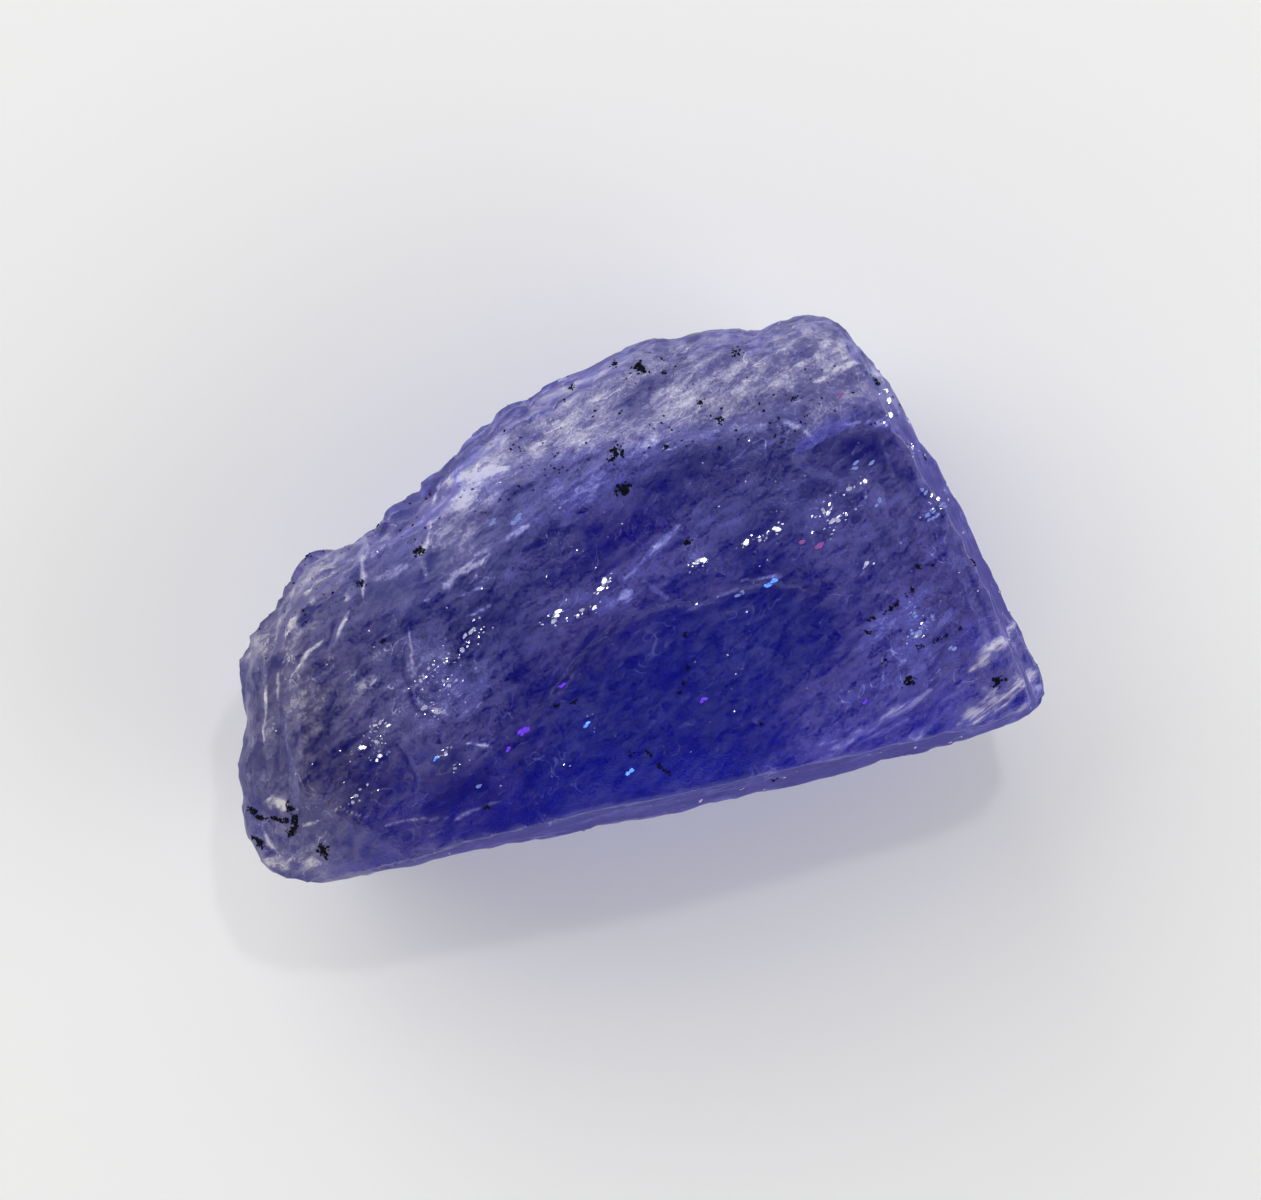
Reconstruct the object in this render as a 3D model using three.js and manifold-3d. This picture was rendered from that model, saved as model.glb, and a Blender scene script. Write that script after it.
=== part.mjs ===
// A rough tanzanite crystal: one broken, etched prism that lies on its flat cleavage face.
// Millimetres, +Z up. X runs along the long lower edge, Y across the stone, and the broad front looks up.
// A direction in the plan is in degrees, turned from +X towards +Y. A tilt is measured from straight up.

import * as THREE from 'three';
import { mergeVertices } from 'three/addons/utils/BufferGeometryUtils.js';
import Module from 'manifold-3d';

const wasm = await Module();
wasm.setup();

// Driving dimensions

const THICKNESS = 8.6;              // rest face to the middle of the front
const STREAK_DIRECTION = 24;        // growth lines and the upper left wall run this way
const WALL_ROUGHNESS = 0.34;        // how unevenly the walls broke
const RIM_BAND = 1.7;               // height over which the outline's small bumps fade out
const OUTLINE_TREND = 5;            // outline points on each side that settle which way a wall faces
const SIDE_BLEND = 3;               // outline points over which one side's wall passes into the next
const BUMP_BLEND = 2;               // outline points over which the small bumps are evened out
const TOP_MARGIN = 0.8;             // how much taller the crystal was before its front broke

// Plan outline at the stone's widest, anticlockwise, one list for each of its sides

const LOWER_EDGE = [
  [-9.3, -5.58], [-8.4, -5.7], [-7.0, -5.82], [-5.2, -5.75], [-3.4, -5.87], [-1.5, -5.8],
  [0.6, -5.9], [2.6, -5.84], [4.4, -5.9], [6.2, -5.8], [8.0, -5.76], [9.3, -5.64],
];
const RIGHT_END = [
  [9.85, -5.42], [10.08, -5.25], [10.18, -4.98], [10.17, -4.62], [10.08, -4.2], [9.9, -3.3],
  [9.68, -2.6], [9.5, -1.75], [9.2, -0.5], [9.0, 0.25], [8.7, 1.25], [8.5, 1.8], [8.3, 2.55],
  [8.15, 3.05], [8.0, 3.45], [7.8, 3.8], [7.65, 4.1], [7.45, 4.7], [7.35, 5.0],
];
const CREST = [
  [7.2, 5.23], [6.9, 5.43], [6.5, 5.55], [6.15, 5.6], [5.8, 5.56], [5.5, 5.46], [5.2, 5.39],
  [4.95, 5.45], [4.75, 5.58], [4.45, 5.6], [4.2, 5.68], [3.9, 5.77], [3.45, 5.7], [2.95, 5.6],
  [2.75, 5.7], [2.45, 5.8], [2.0, 5.75], [1.45, 5.63], [1.0, 5.45], [0.5, 5.38], [0, 5.28],
  [-0.5, 5.1], [-1.0, 4.98], [-1.38, 4.89],
];
const UPPER_LEFT_WALL = [
  [-1.5, 4.75], [-1.85, 4.7], [-2.15, 4.57], [-2.5, 4.33], [-2.65, 4.12], [-3.0, 4.0],
  [-3.2, 3.82], [-3.5, 3.7], [-3.75, 3.42], [-3.95, 3.28], [-4.15, 3.28], [-4.3, 3.12],
  [-4.8, 3.07], [-5.03, 2.92], [-5.4, 2.62], [-5.55, 2.55], [-5.85, 2.55], [-6.1, 2.5],
  [-6.35, 2.37], [-6.75, 2.33], [-7.05, 2.25], [-7.4, 2.0], [-7.75, 1.75], [-8.0, 1.52],
  [-8.2, 1.25], [-8.35, 1.05],
];
const LEFT_END = [
  [-8.45, 0.98], [-8.65, 0.95], [-8.85, 0.8], [-9.0, 0.5], [-9.27, 0.15], [-9.35, 0],
  [-9.41, -0.5], [-9.68, -1.6], [-9.78, -2.0], [-9.93, -2.25], [-10.0, -2.5], [-10.02, -2.95],
];
const KNOB = [
  [-9.98, -3.12], [-10.1, -3.2], [-10.15, -3.5], [-10.2, -3.95], [-10.15, -4.25], [-10.0, -4.5],
  [-9.98, -4.75], [-9.93, -5.05], [-9.8, -5.3], [-9.62, -5.42],
];

// Each wall's height at its widest, and how far it stands in at the rest face and at the top

const RING_HEIGHTS = [0, 1.1, 2.2, 3.3, 4.3, 5.0, 5.7, 6.4, 7.1, THICKNESS + TOP_MARGIN];
const SIDES = [
  { points: LOWER_EDGE, widest: 6.4, insetBelow: 0.8, insetAbove: 0.4 },
  { points: RIGHT_END, widest: 5.7, insetBelow: 0.9, insetAbove: 0.4 },
  { points: CREST, widest: 5.0, insetBelow: 0.6, insetAbove: 0.7 },
  { points: UPPER_LEFT_WALL, widest: 5.0, insetBelow: 0.9, insetAbove: 0.7 },
  { points: LEFT_END, widest: 5.0, insetBelow: 0.9, insetAbove: 0.8 },
  { points: KNOB, widest: 5.0, insetBelow: 0.9, insetAbove: 0.8 },
];

// The front's faces: a point on each one, with its depth under the top, the way it leans and how far it leans

const FRONT_FACES = [
  { name: 'middle', at: [0.5, 1.2, 0.05], faces: 110, tilt: 3 },
  { name: 'lower middle', at: [0, -2, 0.1], faces: 262, tilt: 4 },
  { name: 'right', at: [6.1, -0.5, 0.3], faces: 358, tilt: 13 },
  { name: 'upper bevel', at: [1.4, 3.1, 0.2], faces: 96, tilt: 34 },
  { name: 'upper rim', at: [1.6, 5.2, 1.65], faces: 98, tilt: 52 },
  { name: 'upper right corner', at: [6.7, 4.3, 1.5], faces: 52, tilt: 42 },
  { name: 'upper left slope', at: [-4.3, 1.3, 0.35], faces: 115, tilt: 31 },
  { name: 'upper left rim', at: [-5.6, 2.2, 1.65], faces: 118, tilt: 50 },
  { name: 'left shoulder', at: [-4.9, -0.8, 0.3], faces: 186, tilt: 17 },
  { name: 'left lobe', at: [-7.4, 0.2, 1.25], faces: 150, tilt: 33 },
  { name: 'left end', at: [-8.9, -1.6, 1.7], faces: 176, tilt: 45 },
  { name: 'lower left', at: [-5.6, -3.0, 0.5], faces: 232, tilt: 19 },
  { name: 'lower left corner', at: [-8.6, -4.0, 1.9], faces: 222, tilt: 38 },
  { name: 'lower edge', at: [0.5, -5.45, 0.45], faces: 268, tilt: 44 },
  { name: 'lower right', at: [6.9, -3.4, 0.55], faces: 300, tilt: 15 },
  { name: 'right rim', at: [9.15, -1.2, 1.15], faces: 15, tilt: 54 },
];

// Broken faces under the widest level, which lean out over the rest face

const UNDER_FACES = [
  { name: 'under the right end', at: [9.35, -1.2, 3.6], faces: 13, tilt: 106 },
  { name: 'under the lower right corner', at: [9.5, -5.0, 3.4], faces: 318, tilt: 124 },
  { name: 'under the lower edge', at: [1.0, -5.75, 2.4], faces: 272, tilt: 111 },
  { name: 'under the crest', at: [3.4, 5.6, 2.9], faces: 84, tilt: 122 },
  { name: 'under the upper right corner', at: [7.4, 4.7, 3.8], faces: 46, tilt: 112 },
  { name: 'under the upper left wall', at: [-4.4, 3.0, 3.4], faces: 118, tilt: 110 },
  { name: 'under the left lobe', at: [-8.1, 1.3, 3.6], faces: 140, tilt: 114 },
  { name: 'under the left end', at: [-9.75, -2.4, 3.6], faces: 185, tilt: 112 },
  { name: 'under the knob', at: [-9.7, -5.0, 3.9], faces: 226, tilt: 116 },
  { name: 'lower edge, left part', at: [-6.0, -5.5, 3.4], faces: 263, tilt: 103 },
  { name: 'lower edge, right part', at: [6.0, -5.55, 3.2], faces: 278, tilt: 104 },
  { name: 'right end, lower part', at: [9.7, -3.4, 3.1], faces: 3, tilt: 104 },
  { name: 'right end, upper part', at: [8.3, 1.8, 3.3], faces: 24, tilt: 104 },
  { name: 'crest, left part', at: [0.3, 4.85, 3.0], faces: 104, tilt: 112 },
  { name: 'upper left wall, lower part', at: [-6.7, 1.9, 2.4], faces: 125, tilt: 122 },
  { name: 'left end, lower part', at: [-9.3, -0.8, 3.1], faces: 168, tilt: 109 },
];

// Ledges along the walls, where sheets of the crystal broke off short: the wall left behind, and the shelf

const WALL_LEDGES = [
  { wall: { at: [9.5, -2.8, 5], faces: 9, tilt: 86 }, shelf: { at: [9.5, -2.8, 6.3], faces: 340, tilt: 22 } },
  { wall: { at: [7.7, 4.1, 5], faces: 30, tilt: 84 }, shelf: { at: [7.6, 4.1, 6.1], faces: 60, tilt: 16 } },
  { wall: { at: [-9.75, -3.0, 5], faces: 190, tilt: 84 }, shelf: { at: [-9.6, -3.0, 5.8], faces: 200, tilt: 20 } },
  { wall: { at: [-9.15, -0.9, 5], faces: 170, tilt: 82 }, shelf: { at: [-9.0, -0.9, 6.1], faces: 150, tilt: 18 } },
];

// Flights of small ledges, sheet over sheet: the first one's place, and the way they climb or go down the wall

const WALL_FLIGHTS = [
  { count: 3, start: [-4.6, 3.05, 5.6], faces: 117, recede: 0.1, climb: 0.4 },
  { count: 6, start: [-5.0, 2.7, 4.2], faces: 119, recede: 0.22, climb: -0.6 },
  { count: 4, start: [-1.9, 4.3, 4.0], faces: 112, recede: 0.26, climb: -0.8 },
  { count: 3, start: [2.5, 5.6, 5.5], faces: 92, recede: 0.1, climb: 0.4 },
  { count: 5, start: [3.0, 5.4, 4.1], faces: 86, recede: 0.24, climb: -0.65 },
  { count: 3, start: [0.5, -5.75, 6.7], faces: 270, recede: 0.06, climb: 0.4 },
  { count: 5, start: [-2.0, -5.62, 5.3], faces: 266, recede: 0.16, climb: -0.8 },
  { count: 4, start: [5.0, -5.6, 4.6], faces: 274, recede: 0.2, climb: -0.9 },
  { count: 3, start: [-9.7, -1.6, 5.5], faces: 176, recede: 0.1, climb: 0.4 },
  { count: 4, start: [-9.5, -2.2, 4.4], faces: 182, recede: 0.24, climb: -0.7 },
  { count: 5, start: [9.2, -1.4, 4.9], faces: 14, recede: 0.2, climb: -0.75 },
];
const LEDGE_WANDER = [-4, 4];       // degrees that each ledge's wall turns from its neighbours
const SHELF_WANDER = [-70, 70];     // and its shelf
const LEDGE_WALL_LEAN = 4;
const LEDGE_SHELF_LEAN = 24;

// Growth steps: a loop of shallow terraces, each a little lower and further out than the one before

const GROWTH_STEPS = [
  {
    name: 'on the upper left slope', count: 6, start: [-4.0, 0.9], spacing: 0.42,
    drop: 0.1, faces: 115, tilt: 31, wander: 5,
  },
  {
    name: 'on the pale upper bevel', count: 5, start: [1.6, 3.3], spacing: 0.4,
    drop: 0.09, faces: 101, tilt: 36, wander: 6,
  },
  {
    name: 'down the left end', count: 4, start: [-8.1, -1.4], spacing: 0.4,
    drop: 0.1, faces: 172, tilt: 44, wander: 6,
  },
  {
    name: 'across the right face', count: 3, start: [7.2, -0.5], spacing: 0.62,
    drop: 0.07, faces: 12, tilt: 15, wander: 5,
  },
];
const GROWTH_SCARP_TILT = 78;

// Slabs that have split off the front: the plan of each, and the face left under it, measured as above

const SPLITS = [
  {
    name: 'clean cleavage window',
    plan: [[-3.1, -3.3], [-1.9, -2.3], [-1.0, -1.6], [0.1, -0.9], [1.3, -0.72], [2.5, -0.9],
      [3.4, -0.62], [4.7, -0.9], [5.3, -1.5], [5.9, -2.5], [4.2, -3.6], [3.2, -4.9], [2.9, -7], [-2.6, -7]],
    at: [-0.9, -1.5, 0.28], faces: 150, tilt: 1,
  },
  {
    name: 'dark step under the right ledge',
    plan: [[5.0, 2.05], [5.9, 2.5], [6.4, 2.68], [7.0, 2.75], [7.6, 2.5], [8.9, 2.1], [9.4, 0.6],
      [7.6, 0.9], [6.3, 1.1]],
    at: [7.0, 2.6, 0.77], faces: 25, tilt: 13,
  },
  {
    name: 'step under the pale arc',
    plan: [[6.2, 3.55], [6.7, 4.0], [7.1, 4.08], [7.5, 3.95], [8.4, 3.6], [8.6, 3.0], [7.4, 3.15]],
    at: [7.2, 3.7, 1.42], faces: 45, tilt: 30,
  },
  {
    name: 'step above the middle',
    plan: [[-0.4, 2.9], [0.9, 3.15], [3.0, 3.1], [4.3, 2.5], [5.3, 2.8], [5.6, 3.6], [3.2, 3.9], [0.6, 3.7]],
    at: [2.5, 3.3, 0.41], faces: 94, tilt: 31,
  },
  {
    name: 'chip inside the curved crease',
    plan: [[-5.0, -0.4], [-5.17, -1.0], [-5.0, -1.7], [-4.6, -2.1], [-4.0, -2.35], [-3.6, -1.6], [-3.9, -0.8]],
    at: [-5.1, -1.2, 0.53], faces: 186, tilt: 16,
  },
  {
    name: 'split beside the lower left facet',
    plan: [[-7.6, -4.2], [-6.9, -4.5], [-5.4, -4.1], [-4.8, -3.4], [-5.8, -2.6], [-7.0, -2.7]],
    at: [-6.3, -3.4, 0.94], faces: 215, tilt: 17,
  },
];

// Stepped corner at the lower right, where thin sheets of the crystal end one behind the other

const SHEET_STEPS = { count: 6, from: [9.4, -5.3], spacing: 0.52, drop: 0.09, direction: 31, length: 5.2, lean: 14 };
const SHEET_MEASURED_AT = 0.35;     // share of a sheet's length, back from its middle, where its level is read
const SHEET_LOWEST_Y = -5.1;        // nearer the lower edge the level would be read on the rim

// Wide shallow shells where flakes came off the front: place, radius of the curve and depth

const FRONT_SHELLS = [
  { at: [-6.6, -3.2], radius: 4.2, depth: 0.22 },
  { at: [-7.4, -1.3], radius: 4.6, depth: 0.14 },
  { at: [-3.2, -0.7], radius: 4.8, depth: 0.14 },
  { at: [-4.2, -3.9], radius: 5.2, depth: 0.18 },
  { at: [3.2, 0.5], radius: 6.4, depth: 0.14 },
  { at: [7.5, -1.9], radius: 5.0, depth: 0.14 },
  { at: [-0.4, 1.7], radius: 6.0, depth: 0.12 },
  { at: [2.4, 4.2], radius: 4.2, depth: 0.1 },
  { at: [5.7, 4.3], radius: 3.4, depth: 0.12 },
  { at: [-1.3, 3.7], radius: 3.8, depth: 0.1 },
  { at: [-5.2, 1.2], radius: 4.0, depth: 0.1 },
];

// The same on the walls: a point on the wall, and the way the shell opens

const WALL_SHELLS = [
  { at: [9.2, 0.0, 3.0], faces: 12, tilt: 103, radius: 6.5, depth: 0.4 },
  { at: [4.8, -5.6, 3.4], faces: 274, tilt: 102, radius: 8.0, depth: 0.4 },
  { at: [-4.4, -5.6, 3.7], faces: 266, tilt: 100, radius: 8.5, depth: 0.4 },
  { at: [0.9, -5.7, 2.2], faces: 278, tilt: 110, radius: 5.0, depth: 0.35 },
  { at: [-8.9, -5.2, 2.9], faces: 244, tilt: 112, radius: 4.0, depth: 0.3 },
  { at: [5.6, 5.4, 2.4], faces: 80, tilt: 112, radius: 5.0, depth: 0.4 },
  { at: [-1.4, 4.6, 2.0], faces: 110, tilt: 116, radius: 6.0, depth: 0.35 },
  { at: [-7.4, 1.7, 2.2], faces: 130, tilt: 118, radius: 5.0, depth: 0.35 },
];
const SHELL_DETAIL = 6;

// Open creases in the front: the way each runs, its width and its depth

const CREASES = [
  { run: [[-1.6, -2.1], [-0.7, -1.42], [0.1, -0.92], [0.9, -0.78]], width: 0.23, depth: 0.1 },
  { run: [[-3.9, -3.5], [-3.2, -3.15], [-2.5, -2.75], [-1.9, -2.3]], width: 0.22, depth: 0.1 },
  { run: [[-4.9, -0.35], [-5.15, -1.0], [-5.0, -1.7], [-4.6, -2.1], [-3.9, -2.4]], width: 0.2, depth: 0.12 },
  { run: [[-5.5, 2.45], [-5.75, 1.9], [-5.88, 1.4], [-5.85, 0.9]], width: 0.23, depth: 0.14 },
  { run: [[-3.5, 3.35], [-4.0, 2.75], [-4.3, 1.85], [-4.35, 1.4]], width: 0.22, depth: 0.12 },
  { run: [[-2.5, 1.0], [-1.7, 1.3], [-0.7, 1.6], [0.3, 1.75]], width: 0.19, depth: 0.09 },
  { run: [[0.6, 0.3], [1.3, 0.7], [2.1, 1.12]], width: 0.2, depth: 0.1 },
  { run: [[5.9, -2.45], [6.6, -2.0], [7.6, -1.6]], width: 0.17, depth: 0.1 },
  { run: [[6.9, -3.2], [7.6, -3.0], [8.4, -2.85]], width: 0.16, depth: 0.09 },
  { run: [[-9.75, -3.5], [-9.2, -3.85], [-8.8, -4.05]], width: 0.23, depth: 0.17 },
  { run: [[-9.05, -3.3], [-8.85, -3.7], [-8.7, -4.1]], width: 0.2, depth: 0.16 },
  { run: [[-7.1, 0.9], [-7.6, 0.2], [-8.1, -0.6]], width: 0.17, depth: 0.09 },
  { run: [[-8.95, 0.0], [-9.1, -0.9], [-9.25, -1.8]], width: 0.17, depth: 0.09 },
  { run: [[2.65, 5.4], [2.6, 5.0], [2.5, 4.6]], width: 0.16, depth: 0.1 },
];

// Small pits, some with graphite in them: place and width, and their depth as a share of the width

const PITS = [
  [2.0, 5.12, 0.42], [1.0, 3.15, 0.36], [0.95, 2.25, 0.38], [3.3, 3.93, 0.24], [3.68, 3.4, 0.26],
  [2.2, 2.85, 0.22], [4.45, 4.95, 0.24], [5.55, 3.3, 0.24], [-5.88, 1.4, 0.3], [-4.3, 1.85, 0.34],
  [6.8, -3.93, 0.34], [8.9, -4.4, 0.3], [-8.95, -4.2, 0.32], [-8.3, -4.75, 0.26], [-9.6, -4.3, 0.26],
  [0.35, -4.6, 0.3], [-0.2, -4.15, 0.26], [1.5, -2.5, 0.2], [2.2, 0.62, 0.3], [-1.6, -2.6, 0.24],
];
const PIT_DEPTH = 0.45;

// Growth lines: fine furrows that taper out at both ends, scattered within each patch

const FURROW_PATCHES = [
  { low: [-8.6, -1.6], high: [-5.6, 1.2], count: 9, length: [1.0, 2.6], direction: 48 },
  { low: [-5.2, 0.0], high: [-1.5, 3.2], count: 13, length: [1.8, 4.2], direction: STREAK_DIRECTION },
  { low: [-1.4, 0.4], high: [4.8, 4.9], count: 15, length: [1.8, 4.6], direction: STREAK_DIRECTION - 4 },
  { low: [4.9, -0.4], high: [7.4, 4.6], count: 8, length: [1.4, 3.0], direction: STREAK_DIRECTION - 8 },
  { low: [-4.5, -4.6], high: [-1.0, -0.6], count: 8, length: [1.4, 3.2], direction: STREAK_DIRECTION + 10 },
];
const FURROW_WIDTH = [0.16, 0.34];
const FURROW_DEPTH = [0.06, 0.13];
const FURROW_WANDER = [-5, 5];      // degrees that each one turns from its neighbours
const FURROW_BANK = 1.5;            // how much wider its gentle side is than a half width
const FURROW_SCARP = 0.5;           // and its steep side

// How closely the surface is read and joined

const BEYOND = 60;                  // larger than the stone, for half spaces
const JOIN_DISTANCE = 1e-4;         // corners nearer than this are one corner
const EDGE_ON_AREA = 1e-9;          // a triangle that covers less of the plan than this stands on edge
const SLOPE_REACH = 0.4;            // how far to each side the front's slope is read
const WALL_SEED = 7;
const FURROW_SEED = 29;

// A repeatable stream of numbers from 0 to 1
function stream(seed) {
  let state = seed;
  return () => {
    state = (state * 1664525 + 1013904223) % 4294967296;
    return state / 4294967296;
  };
}

function between(draw, [low, high]) {
  return low + (high - low) * draw();
}

function radians(degrees) {
  return THREE.MathUtils.degToRad(degrees);
}

function leaningDirection(faces, tilt) {
  const across = Math.sin(radians(tilt));
  return new THREE.Vector3(
    across * Math.cos(radians(faces)),
    across * Math.sin(radians(faces)),
    Math.cos(radians(tilt)),
  );
}

// A closed three.js geometry as a solid that can be joined and cut
function solidOf(geometry) {
  const bare = geometry.clone();
  bare.deleteAttribute('normal');
  bare.deleteAttribute('uv');
  const merged = mergeVertices(bare, JOIN_DISTANCE);
  return new wasm.Manifold(new wasm.Mesh({
    numProp: 3,
    vertProperties: merged.attributes.position.array,
    triVerts: new Uint32Array(merged.index.array),
  }));
}

// A face whose place is given by its depth under the stone's top
function fromTop({ at: [x, y, depth], ...face }) {
  return { at: [x, y, THICKNESS - depth], ...face };
}

// Everything on the outer side of a leaning plane
function outside({ at, faces, tilt }) {
  const space = new THREE.BoxGeometry(BEYOND, BEYOND, BEYOND);
  space.translate(0, 0, BEYOND / 2);
  const up = new THREE.Vector3(0, 0, 1);
  space.applyQuaternion(new THREE.Quaternion().setFromUnitVectors(up, leaningDirection(faces, tilt)));
  space.translate(...at);
  return solidOf(space);
}

// An upright block with the given plan, tall enough to pass through the stone's front
function uprightBlock(plan) {
  const shape = new THREE.Shape(plan.map(([x, y]) => new THREE.Vector2(x, y)));
  const block = new THREE.ExtrudeGeometry(shape, { depth: THICKNESS * 2, bevelEnabled: false });
  return solidOf(block);
}

// The inward direction at each outline point, averaged over its neighbours so that rings don't cross
function inwardDirections(points) {
  const count = points.length;
  return points.map((point, i) => {
    const before = points[(i - OUTLINE_TREND + count) % count];
    const after = points[(i + OUTLINE_TREND) % count];
    return new THREE.Vector2(before[1] - after[1], after[0] - before[0]).normalize();
  });
}

// Smooths a closed row of numbers, so that one side's wall passes into the next
function smoothed(values, reach) {
  const count = values.length;
  return values.map((value, i) => {
    let sum = 0;
    for (let k = -reach; k <= reach; k++) sum += values[(i + k + count) % count];
    return sum / (2 * reach + 1);
  });
}

// Moves each outline point towards the middle of its neighbours, which takes the small bumps away
function withoutBumps(points, reach) {
  const [xs, ys] = [0, 1].map((axis) => smoothed(points.map((point) => point[axis]), reach));
  return points.map((point, i) => [xs[i], ys[i]]);
}

// The crystal before its front and underside broke: rings of the outline, drawn in above and below the widest
function crystalBody() {
  const draw = stream(WALL_SEED);
  const outline = SIDES.flatMap((side) => side.points);
  const calm = withoutBumps(outline, BUMP_BLEND);
  const inward = inwardDirections(outline);
  const perPoint = (key) => smoothed(SIDES.flatMap((side) => side.points.map(() => side[key])), SIDE_BLEND);
  const [widest, below, above] = [perPoint('widest'), perPoint('insetBelow'), perPoint('insetAbove')];
  const top = RING_HEIGHTS.at(-1);
  const count = outline.length;
  const positions = [];
  RING_HEIGHTS.forEach((height) => {
    const uneven = smoothed(outline.map(() => WALL_ROUGHNESS * 2 * draw()), 1);
    outline.forEach((point, i) => {
      const away = height - widest[i];
      const fade = Math.min(Math.abs(away) / RIM_BAND, 1);
      const share = away < 0 ? -away / widest[i] : away / (top - widest[i]);
      const inset = (away < 0 ? below[i] : above[i]) * share + uneven[i] * fade;
      positions.push(
        THREE.MathUtils.lerp(point[0], calm[i][0], fade) + inward[i].x * inset,
        THREE.MathUtils.lerp(point[1], calm[i][1], fade) + inward[i].y * inset,
        height,
      );
    });
  });
  const faces = [];
  for (let ring = 0; ring + 1 < RING_HEIGHTS.length; ring++) {
    for (let i = 0; i < count; i++) {
      const next = (i + 1) % count;
      const [a, b] = [ring * count + i, ring * count + next];
      faces.push(a, b, b + count, a, b + count, a + count);
    }
  }
  for (const [ring, turned] of [[0, true], [RING_HEIGHTS.length - 1, false]]) {
    const base = ring * count;
    const rim = outline.map((point, i) => {
      const start = 3 * (base + i);
      return new THREE.Vector2(positions[start], positions[start + 1]);
    });
    for (const [a, b, c] of THREE.ShapeUtils.triangulateShape(rim, [])) {
      faces.push(...(turned ? [base + a, base + c, base + b] : [base + a, base + b, base + c]));
    }
  }
  const geometry = new THREE.BufferGeometry();
  geometry.setAttribute('position', new THREE.Float32BufferAttribute(positions, 3));
  geometry.setIndex(faces);
  return solidOf(geometry);
}

// The highest point of a solid's surface over a place in the plan
function surfaceFinder(solid) {
  const mesh = solid.getMesh();
  const corner = (i) => mesh.vertProperties.subarray(i * mesh.numProp, i * mesh.numProp + 3);
  return (x, y) => {
    let highest = -Infinity;
    for (let t = 0; t < mesh.triVerts.length; t += 3) {
      const [a, b, c] = [corner(mesh.triVerts[t]), corner(mesh.triVerts[t + 1]), corner(mesh.triVerts[t + 2])];
      const area = (b[0] - a[0]) * (c[1] - a[1]) - (c[0] - a[0]) * (b[1] - a[1]);
      if (area <= EDGE_ON_AREA) continue;
      const v = ((x - a[0]) * (c[1] - a[1]) - (c[0] - a[0]) * (y - a[1])) / area;
      const w = ((b[0] - a[0]) * (y - a[1]) - (x - a[0]) * (b[1] - a[1])) / area;
      if (v < 0 || w < 0 || v + w > 1) continue;
      highest = Math.max(highest, a[2] + v * (b[2] - a[2]) + w * (c[2] - a[2]));
    }
    return highest;
  };
}

// The outward direction of the surface over a place in the plan, read across a small patch
function surfaceDirection(surface, x, y) {
  const risesX = (surface(x + SLOPE_REACH, y) - surface(x - SLOPE_REACH, y)) / (2 * SLOPE_REACH);
  const risesY = (surface(x, y + SLOPE_REACH) - surface(x, y - SLOPE_REACH)) / (2 * SLOPE_REACH);
  return new THREE.Vector3(-risesX, -risesY, 1).normalize();
}

function splitSlab({ plan, at, faces, tilt }) {
  return uprightBlock(plan).intersect(outside({ at, faces, tilt }));
}

// The thin sheets that end one behind the other, each a little lower than the one before
function sheetSteps(surface) {
  const { count, from, spacing, drop, direction, length, lean } = SHEET_STEPS;
  const along = new THREE.Vector2(Math.cos(radians(direction)), Math.sin(radians(direction)));
  const across = new THREE.Vector2(-along.y, along.x);
  const cuts = [];
  for (let i = 0; i < count; i++) {
    const edge = new THREE.Vector2(...from).addScaledVector(across, spacing * (count - 1 - i));
    const start = edge.clone().addScaledVector(along, -length);
    const end = edge.clone().addScaledVector(along, length);
    const below = across.clone().multiplyScalar(-spacing * count * 2);
    const middle = edge.clone().addScaledVector(along, -length * SHEET_MEASURED_AT);
    const level = surface(middle.x, Math.max(middle.y, SHEET_LOWEST_Y));
    const plan = [start, start.clone().add(below), end.clone().add(below), end];
    cuts.push(splitSlab({
      plan: plan.map((p) => [p.x, p.y]),
      at: [middle.x, middle.y, level - drop],
      faces: direction - 90,
      tilt: lean,
    }));
  }
  return cuts;
}

// A shallow shell, cut by a ball that only just dips into the surface
function shell(at, outward, { radius, depth }) {
  const ball = new THREE.IcosahedronGeometry(radius, SHELL_DETAIL);
  const centre = at.clone().addScaledVector(outward, radius - depth);
  return solidOf(ball.translate(centre.x, centre.y, centre.z));
}

function wallShell({ at, faces, tilt, ...curve }) {
  return shell(new THREE.Vector3(...at), leaningDirection(faces, tilt), curve);
}

function frontShell({ at: [x, y], ...curve }, surface) {
  return shell(new THREE.Vector3(x, y, surface(x, y)), surfaceDirection(surface, x, y), curve);
}

function wallLedge({ wall, shelf }) {
  return outside(wall).intersect(outside(shelf));
}

// Ledge after ledge up or down a wall, each further back than the one before
function wallFlight({ count, start: [x, y, z], faces, recede, climb }) {
  const draw = stream(faces + count);
  const cuts = [];
  for (let i = 0; i < count; i++) {
    const turned = faces + between(draw, LEDGE_WANDER);
    const back = recede * (i + draw());
    const height = z + climb * (i + 0.5 * draw());
    const at = [x - Math.cos(radians(faces)) * back, y - Math.sin(radians(faces)) * back, height];
    const lean = LEDGE_SHELF_LEAN * draw();
    const up = climb > 0;
    cuts.push(wallLedge({
      wall: { at, faces: turned, tilt: up ? 90 - LEDGE_WALL_LEAN : 90 + LEDGE_WALL_LEAN },
      shelf: { at, faces: turned + between(draw, SHELF_WANDER), tilt: up ? lean : 180 - lean },
    }));
  }
  return cuts;
}

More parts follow.
